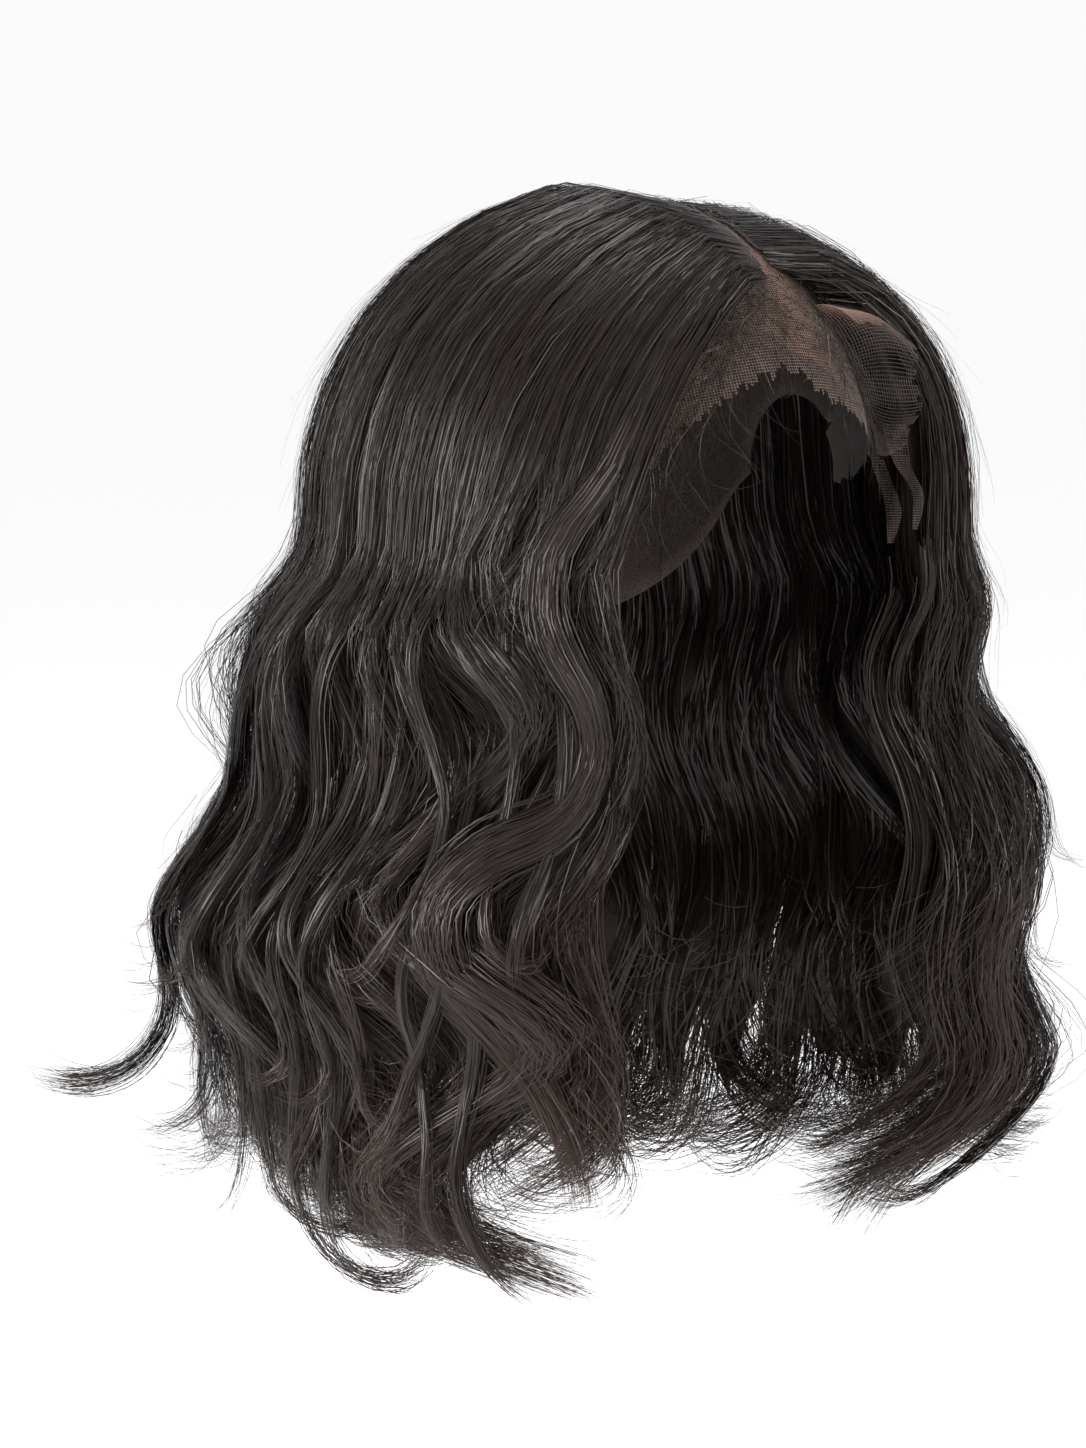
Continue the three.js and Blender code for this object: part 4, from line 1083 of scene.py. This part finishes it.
STRIP_ROWS = [
    [(35.5, 0.79, 0.36, 1), (36, 0.93, 0.41, 0.67), (36, 1.04, 0.62, 0.5), (35.5, 1.17, 0.63, 0.16)],
    [(39, 0.8, 0, 0.33), (40, 0.96, 0.12, 0.55), (40, 1.1, 0.31, 0.67), (40, 1.23, 0.34, 0.2)],
]
FLAP_REACH = 28 * MM
STRIP_WIDTH = 9 * MM


def head_point(side, forward, offset):
    u, w = np.radians(side), np.radians(forward)
    across = np.broadcast_arrays(np.sin(u), -np.cos(u) * np.sin(w), np.cos(u) * np.cos(w))
    direction = np.stack(across, axis=-1)
    point = direction * HEAD + unit(direction / HEAD) * offset
    point[..., 2] -= HEAD[2]
    return point


def side_and_forward(point):
    """Degrees sideways and forward from the top of the cap, of points on its surface."""
    share = unit((point - [0, 0, -HEAD[2]]) / HEAD)
    return np.degrees(np.arcsin(share[..., 0])), np.degrees(np.arctan2(-share[..., 1], share[..., 2]))


def lace_back(side):
    return 8 + 46 * (side / 77) ** 2


def lace_edge(side):
    ragged = np.sin(side * 0.9) + 0.7 * np.sin(side * 2.3 + 1)
    ragged = ragged + 0.5 * np.sin(side * 4.1) + 0.5 * np.sin(side * 9)
    return spline(*LACE_EDGE, side) + 0.75 * ragged


print("the lace's edge at the middle stands", round(float(lace_edge(0.0))), "degrees forward of the top")


# %% The surfaces of the lifted corner and of the strips
def off_head(azimuth, depth, reach):
    offset = LACE_WALL / 2
    height = ((HEAD[2] - depth * HEAD[2]) / (HEAD[2] + offset)).clip(-1, 1)
    turn = np.radians(azimuth)
    along_ray = np.hypot(np.sin(turn) / (HEAD[0] + offset), np.cos(turn) / (HEAD[1] + offset))
    radius = np.sqrt(1 - height**2) / along_ray
    return polar(azimuth, radius + reach * FLAP_REACH, -depth * HEAD[2])


def flap_point(across, down):
    rows = np.linspace(0, 1, len(FLAP_ROWS))
    azimuth, depth, edge_azimuth, edge_depth, reach, bulge = (
        spline(rows, [row[i] for row in FLAP_ROWS], down) for i in range(len(FLAP_COLUMNS))
    )
    edge = off_head(edge_azimuth, edge_depth, reach * 0.94 + 0.05 * np.sin(down * 23))
    lift = bulge * FLAP_REACH * np.sin(np.pi * across)
    crumple = 0.9 * MM * np.sin(down * 19 + 4 * across) * across
    lifted = polar(azimuth, 0.35 * lift, 0.8 * lift) + polar(azimuth - 90, 0.5 * lift + crumple, 0)
    return lerp(off_head(azimuth, depth, 0), edge, across[..., None]) + lifted


def strip_point(rows, across, down):
    keys = np.linspace(0, 1, len(rows))
    azimuth, depth, reach, width = (
        spline(keys, [row[i] for row in rows], down) for i in range(len(STRIP_COLUMNS))
    )
    outward = polar(azimuth, width * (2 * across - 1) * STRIP_WIDTH / 2, 0)
    curl = polar(azimuth - 90, 1.2 * MM * np.sin(down * 9 + across * 3), 0)
    return off_head(azimuth, depth, reach) + outward + curl


corner = flap_point(np.array([1.0]), np.array([0.4]))[0]
print("the lifted corner reaches", round(float(np.hypot(*corner[:2])) / MM), "mm from the middle")


# %% Threads of a net over any surface
NET_PITCH = 1.05 * MM
THREAD_WIDTH = 0.27 * MM


def net(surface, size, kept, stretch):
    """Both sets of threads over a surface of two shares from 0 to 1, as short steps from hole to hole."""
    starts, ends = [], []
    for lengthwise in (True, False):
        across = round(size[0 if lengthwise else 1] / NET_PITCH)
        steps = round(size[1 if lengthwise else 0] / (NET_PITCH * stretch))
        line, step = np.meshgrid((np.arange(across) + 0.5) / across, np.arange(steps), indexing="ij")
        a, b = step / steps, (step + 1) / steps
        pair = [(line, a), (line, b)] if lengthwise else [(a, line), (b, line)]
        middle = [(pair[0][i] + pair[1][i]) / 2 for i in (0, 1)]
        keep = kept(*middle)
        starts.append(surface(*pair[0])[keep])
        ends.append(surface(*pair[1])[keep])
    return np.stack([np.concatenate(starts), np.concatenate(ends)], axis=1)


def net_mesh(name, threads, finish, outward, width, warmth_and_painted_light, painted_shade):
    ahead = unit(threads[:, 1:] - threads[:, :1]) * np.ones((1, 2, 1))
    side = unit(np.cross(ahead, outward))
    ones = np.ones(threads.shape[:2])
    return ribbons(name, threads, side, ones, warmth_and_painted_light, ones * painted_shade, width, finish)


print("threads of the net stand", NET_PITCH / MM, "mm apart")

# %% The lace's threads
# Swiss lace is a matt nylon thread, so it has hardly any gloss. It looks warmer beside the parting, where
# it lies flat in the light. Painted light lightens the ridge of the lifted corner, and painted shade darkens
# its hollow, the net at the wearer's left temple and the two strips.
MOTTLE = 6.25 * MM


def lace_finish():
    """Matt nylon net: mocha brown and mottled, warmer beside the parting, with painted light on the flap's
    ridge and painted shade in its hollow, at the temple and on the strips.
    """
    material, tree = new_material("mocha_lace_thread")
    warmth_and_painted_light = add(tree, "ShaderNodeAttribute", {"attribute_name": "shade"})
    place = add(tree, "ShaderNodeTexCoord")
    mottled = add(tree, "ShaderNodeTexNoise", Vector=place.outputs["Object"], Scale=1 / MOTTLE, Detail=3.0)
    dark, pale, warm, painted_shade_colour = (linear(code) for code in ("#33271f", "#55443a", "#75594a", "#1d1511"))
    body = add(tree, "ShaderNodeMix", COLOURS, in0=mottled.outputs[0], in6=dark, in7=pale)
    lit = add(tree, "ShaderNodeMix", COLOURS, in0=warmth_and_painted_light.outputs["Fac"], in6=body.outputs[2], in7=warm)
    # Painted shade: these values mix the threads toward a dark brown in the flap's hollow, at the temple and
    # on the strips.
    painted_shade = add(tree, "ShaderNodeAttribute", {"attribute_name": "along"})
    colour = add(tree, "ShaderNodeMix", COLOURS, in0=painted_shade.outputs["Fac"], in6=lit.outputs[2], in7=painted_shade_colour)
    matt = {"Roughness": 0.85, "Sheen_Weight": 0.1}
    shader = add(tree, "ShaderNodeBsdfPrincipled", Base_Color=colour.outputs[2], **matt)
    add(tree, "ShaderNodeOutputMaterial", Surface=shader.outputs[0])
    return material


LACE = lace_finish()
print("finish of the net:", LACE.name)

# %% The wall of the lace, its lifted corner and the two strips
random = np.random.default_rng(7)
SIDE_REACH, FORWARD_FROM, FORWARD_TO, EDGE_BAND = 77, 6, 118, 7
WALL_SIZE = (0.205, 0.185)
FLAP_HEIGHT, STRIP_HEIGHT = 62 * MM, 45 * MM
FLAP_THREAD, STRIP_THREAD = 0.22 * MM, 0.24 * MM


def side_forward(a, b):
    return lerp(-SIDE_REACH, SIDE_REACH, a), lerp(FORWARD_FROM, FORWARD_TO, b)


def lace_surface(a, b):
    return head_point(*side_forward(a, b), LACE_WALL / 2)


def behind_edge(a, b):
    side, forward = side_forward(a, b)
    return (forward > lace_back(side)) & (forward < lace_edge(side) - EDGE_BAND)


def at_edge(a, b):
    side, forward = side_forward(a, b)
    visible = (side > -58) & (side < 68)
    return visible & (forward > lace_edge(side) - EDGE_BAND - 2) & (forward < lace_edge(side))


BANDS = ((at_edge, 1), (behind_edge, 5))
wall = np.concatenate([net(lace_surface, WALL_SIZE, kept, stretch) for kept, stretch in BANDS])
parting_x = PARTING_FRONT[0] * HEAD[0]
near_parting = np.exp(-np.abs(wall[..., 0] - parting_x) / (9 * MM)) * (wall[..., 1] > -85 * MM)
# Painted shade on the net toward the wearer's left temple.
painted_shade_at_temple = 0.75 * smoothstep(38, 58, np.degrees(np.arcsin((wall[..., 0] / HEAD[0]).clip(-1, 1))))
lace_meshes = [net_mesh("lace_wall", wall, LACE, outward_of(wall), THREAD_WIDTH, near_parting, painted_shade_at_temple)]

flap = net(flap_point, (FLAP_REACH, FLAP_HEIGHT), lambda a, b: a < 0.97 - 0.07 * np.sin(b * 41) ** 2, 1.5)
flap_out = unit(np.cross(flap[:, 1] - flap[:, 0], [0, 0, 1]) + 1e-9)[:, None] * np.ones((1, 2, 1))
# Painted light along the lifted corner's top ridge, and painted shade below it in its hollow.
painted_ridge_light = 0.7 * np.exp(-(((flap[..., 2] - flap[..., 2].max()) / (7 * MM)) ** 2))
lace_meshes.append(net_mesh("flap", flap, LACE, flap_out, FLAP_THREAD, painted_ridge_light, 0.8 - painted_ridge_light))
for rows in STRIP_ROWS:
    size = (0.8 * STRIP_WIDTH, STRIP_HEIGHT)
    strip = net(lambda a, b: strip_point(rows, a, b), size, lambda a, b: a < 2, 2)
    plain = np.zeros(strip.shape[:2])
    # The strips are painted half into the shade colour.
    lace_meshes.append(net_mesh("strip", strip, LACE, outward_of(strip), STRIP_THREAD, plain, 0.5))
print("lace threads:", len(wall) + len(flap))

# %% [markdown]
# ## The hairline
# The first hairs of a lace front are short, fine and curly, and cross the net and the parting every
# way, which hides the edge of the hair. They are strands again, but each is grown over the net from its
# own root by small turns, since they follow no lock.

# %% Short curly hairs along the hairline
BABY_SAMPLES = 15
BABY_WIDTH = 0.2 * MM


def baby_hairs(random, count, side, forward, length, heading, curl, rise):
    """Short hairs that curl over the lace from where they are tied. Lengths and rise are in millimetres."""
    place = np.linspace(0, 1, BABY_SAMPLES)[None] * np.ones((count, 1))
    step = random.uniform(*length, (count, 1)) * MM / (BABY_SAMPLES - 1)
    angle = random.normal(*heading, (count, 1))
    angle = angle + np.cumsum(random.normal(0, 1, (count, 1)) * curl * np.ones_like(place), axis=1)
    angle = np.radians(angle + 14 * np.sin(7 * place + random.uniform(0, 6, (count, 1))))
    across = np.cumsum(step * np.cos(angle) / (HEAD[0] * np.radians(1)), axis=1)
    ahead = np.cumsum(step * np.sin(angle) / (HEAD[1] * np.radians(1)), axis=1)
    lift = LACE_WALL + (0.3 + random.uniform(*rise, (count, 1)) * place**1.5) * MM
    points = head_point(side[:, None] + across, forward[:, None] + ahead, lift[..., None])
    taper = np.minimum(1, 0.3 + (1 - place) * 2)
    shade = random.uniform(0.1, 0.6, (count, 1)) * np.ones_like(place)
    side_of = facing(points, place, random, 0.8)
    return ribbons("baby_hairs", points, side_of, taper, shade, place * 0.6, BABY_WIDTH, FIBRE)


print("points down a short hair:", BABY_SAMPLES)

# %% Grow them behind the lace's edge, along both face edges and over the parting
count = 280
side = random.uniform(-52, 32, count)
forward = lace_edge(side) - random.uniform(6, 24, count)
lace_meshes.append(baby_hairs(random, count, side, forward, (12, 40), (80, 60), 9, (0.3, 4)))
for azimuth, toward, count in ((-41, 1, 190), (-313.5, -1, 260)):
    stage = random.random(count) ** 0.8 * 0.75
    on_head = hair_point(np.full(count, azimuth), np.ones(count), stage, np.zeros(count))
    side, forward = side_and_forward(on_head)
    side = side + toward * random.uniform(-4, 9, count) * (0.3 + stage)
    forward = forward + random.uniform(-3, 6, count)
    heading = (90 + 35 * toward, 22)
    lace_meshes.append(baby_hairs(random, count, side, forward, (20, 55), heading, 4, (1, 7)))
count = 120
along = random.random(count)
parting_x = HEAD[0] * lerp(PARTING_FRONT[0], PARTING_BACK[0], along)
parting_y = HEAD[1] * lerp(-0.76, 0.2, along)
side = np.degrees(np.arcsin(parting_x / HEAD[0])) + random.normal(0, 2.2, count)
forward = np.degrees(np.arcsin(-parting_y / HEAD[1] / np.cos(np.radians(side))))
lace_meshes.append(baby_hairs(random, count, side, forward, (8, 22), (0, 90), 6, (0.5, 3)))
piece("lace_net", lace_meshes, "lace_front")

# %% [markdown]
# ## The cap behind
# Behind the lace the hair is sewn to a soft cap of stretch net. Only its inside shows, through the face
# opening, as a smooth hollow, and what shape its rear has can't be known, so it is kept plain. The knit
# is too fine to model over so large a surface, and a cell pattern in its finish is enough: one cell is
# about 1.4 mm, a little coarser than real so that it shows.

# %% Cap of stretch net
KNIT_CELL, WORN_PATCH = MM / 0.7, 25 * MM
CAP_COLUMNS, CAP_ROWS, CAP_SIDE = 44, 30, 74


def cap_finish():
    """Dark elastic knit: matt, with a cell pattern whose dark holes are pressed in, and worn in patches."""
    material, tree = new_material("dark_stretch_net")
    place = add(tree, "ShaderNodeTexCoord").outputs["Object"]
    edges = {"feature": "DISTANCE_TO_EDGE"}
    knit = add(tree, "ShaderNodeTexVoronoi", edges, Vector=place, Scale=1 / KNIT_CELL)
    wear_and_painted_tip_light = add(tree, "ShaderNodeTexNoise", Vector=place, Scale=1 / WORN_PATCH, Detail=4.0)
    holes = add(tree, "ShaderNodeMapRange", Value=knit.outputs[0], From_Max=0.4)
    dark, pale, hole = linear("#251c17"), linear("#3a2d25"), linear("#0c0807")
    body = add(tree, "ShaderNodeMix", COLOURS, in0=wear_and_painted_tip_light.outputs[0], in6=dark, in7=pale)
    colour = add(tree, "ShaderNodeMix", COLOURS, in0=holes.outputs[0], in6=body.outputs[2], in7=hole)
    pressed = {"Strength": 0.7, "Distance": 0.3 * MM, "Height": holes.outputs[0]}
    bump = add(tree, "ShaderNodeBump", {"invert": True}, **pressed)
    matt = {"Roughness": 0.9, "Normal": bump.outputs[0]}
    shader = add(tree, "ShaderNodeBsdfPrincipled", Base_Color=colour.outputs[2], **matt)
    add(tree, "ShaderNodeOutputMaterial", Surface=shader.outputs[0])
    return material


def cap_mesh():
    side = np.linspace(-CAP_SIDE, CAP_SIDE, CAP_COLUMNS + 1)[None, :]
    down = np.linspace(0, 1, CAP_ROWS + 1)[:, None]
    forward = lerp(lace_back(side) - 0.6, -spline(*CAP_HEM, side), down)
    grid = np.stack([head_point(side, forward, CAP_WALL), head_point(side, forward, 0)])
    return closed_sheet("cap", grid, cap_finish())


piece("stretch_cap", [cap_mesh()], "cap_back")

# %% [markdown]
# ## Camera, floor and light
# The camera stands to the wearer's right of the face and a little above the middle of the wig, with a
# long lens, so that near and far hair have nearly one scale. Around is a pale plain studio. Three large
# soft lights give the sheen: one from the wearer's right rakes down the waves, one from the front
# reaches into the face opening, and a weak one from above and behind parts the crown from the ground.

# %% The camera
CAMERA_TURN, CAMERA_TILT = math.radians(-36), math.radians(7)
DISTANCE = 1.8
PHOTO_HEIGHT = 1448
PIXELS_PER_METRE = 2700
AXIS_PIXEL_OFFSET = 93
MIDDLE_HEIGHT = -0.192

camera = new_object("camera", bpy.data.cameras.new("camera"))
level = math.cos(CAMERA_TILT)
back = Vector((math.sin(CAMERA_TURN) * level, -math.cos(CAMERA_TURN) * level, math.sin(CAMERA_TILT)))
right = Vector((math.cos(CAMERA_TURN), math.sin(CAMERA_TURN), 0))
aim = Vector((0, 0, MIDDLE_HEIGHT)) - right * (AXIS_PIXEL_OFFSET / PIXELS_PER_METRE)
camera.location = aim + back * DISTANCE
camera.rotation_euler = (-back).to_track_quat("-Z", "Y").to_euler()
camera.data.lens = camera.data.sensor_width * DISTANCE * PIXELS_PER_METRE / PHOTO_HEIGHT
bpy.context.scene.camera = camera
bpy.context.scene.view_settings.view_transform = "Standard"
print("lens", round(camera.data.lens), "mm")

# %% Floor and lights
FLOOR_Z, FLOOR_HALF = -0.75, 14
LIGHT_SIZE = 1.0
LIGHT_AIM = Vector((0, 0, -0.15))
LIGHTS = {
    "key": ((-2.0, 0.05, 0.35), 84),
    "front": ((0.3, -2.1, 0.25), 56),
    "top": ((0.2, 0.6, 1.6), 24),
}


def pale_floor():
    """Matt emulsion paint: even and nearly white, so that floor and background run into each other."""
    corners = [(x * FLOOR_HALF, y * FLOOR_HALF, FLOOR_Z) for x, y in ((-1, -1), (1, -1), (1, 1), (-1, 1))]
    mesh = bpy.data.meshes.new("floor")
    mesh.from_pydata(corners, [], [(0, 1, 2, 3)])
    material, tree = new_material("pale_floor_paint")
    shader = add(tree, "ShaderNodeBsdfPrincipled", Base_Color=linear("#fefefe"), Roughness=1.0)
    add(tree, "ShaderNodeOutputMaterial", Surface=shader.outputs[0])
    mesh.materials.append(material)
    floor = new_object("floor", mesh)


pale_floor()
world = bpy.data.worlds.new("studio")
bpy.context.scene.world = world
world.use_nodes = True
world.node_tree.nodes["Background"].inputs["Color"].default_value = linear("#fdfdfe")
world.node_tree.nodes["Background"].inputs["Strength"].default_value = 0.98
for name, (place, watts) in LIGHTS.items():
    lamp = new_object(name, bpy.data.lights.new(name, "AREA"))
    lamp.location = place
    lamp.data.size = LIGHT_SIZE
    lamp.data.energy = watts
    lamp.rotation_euler = (LIGHT_AIM - lamp.location).to_track_quat("-Z", "Y").to_euler()
print("lights:", ", ".join(LIGHTS))
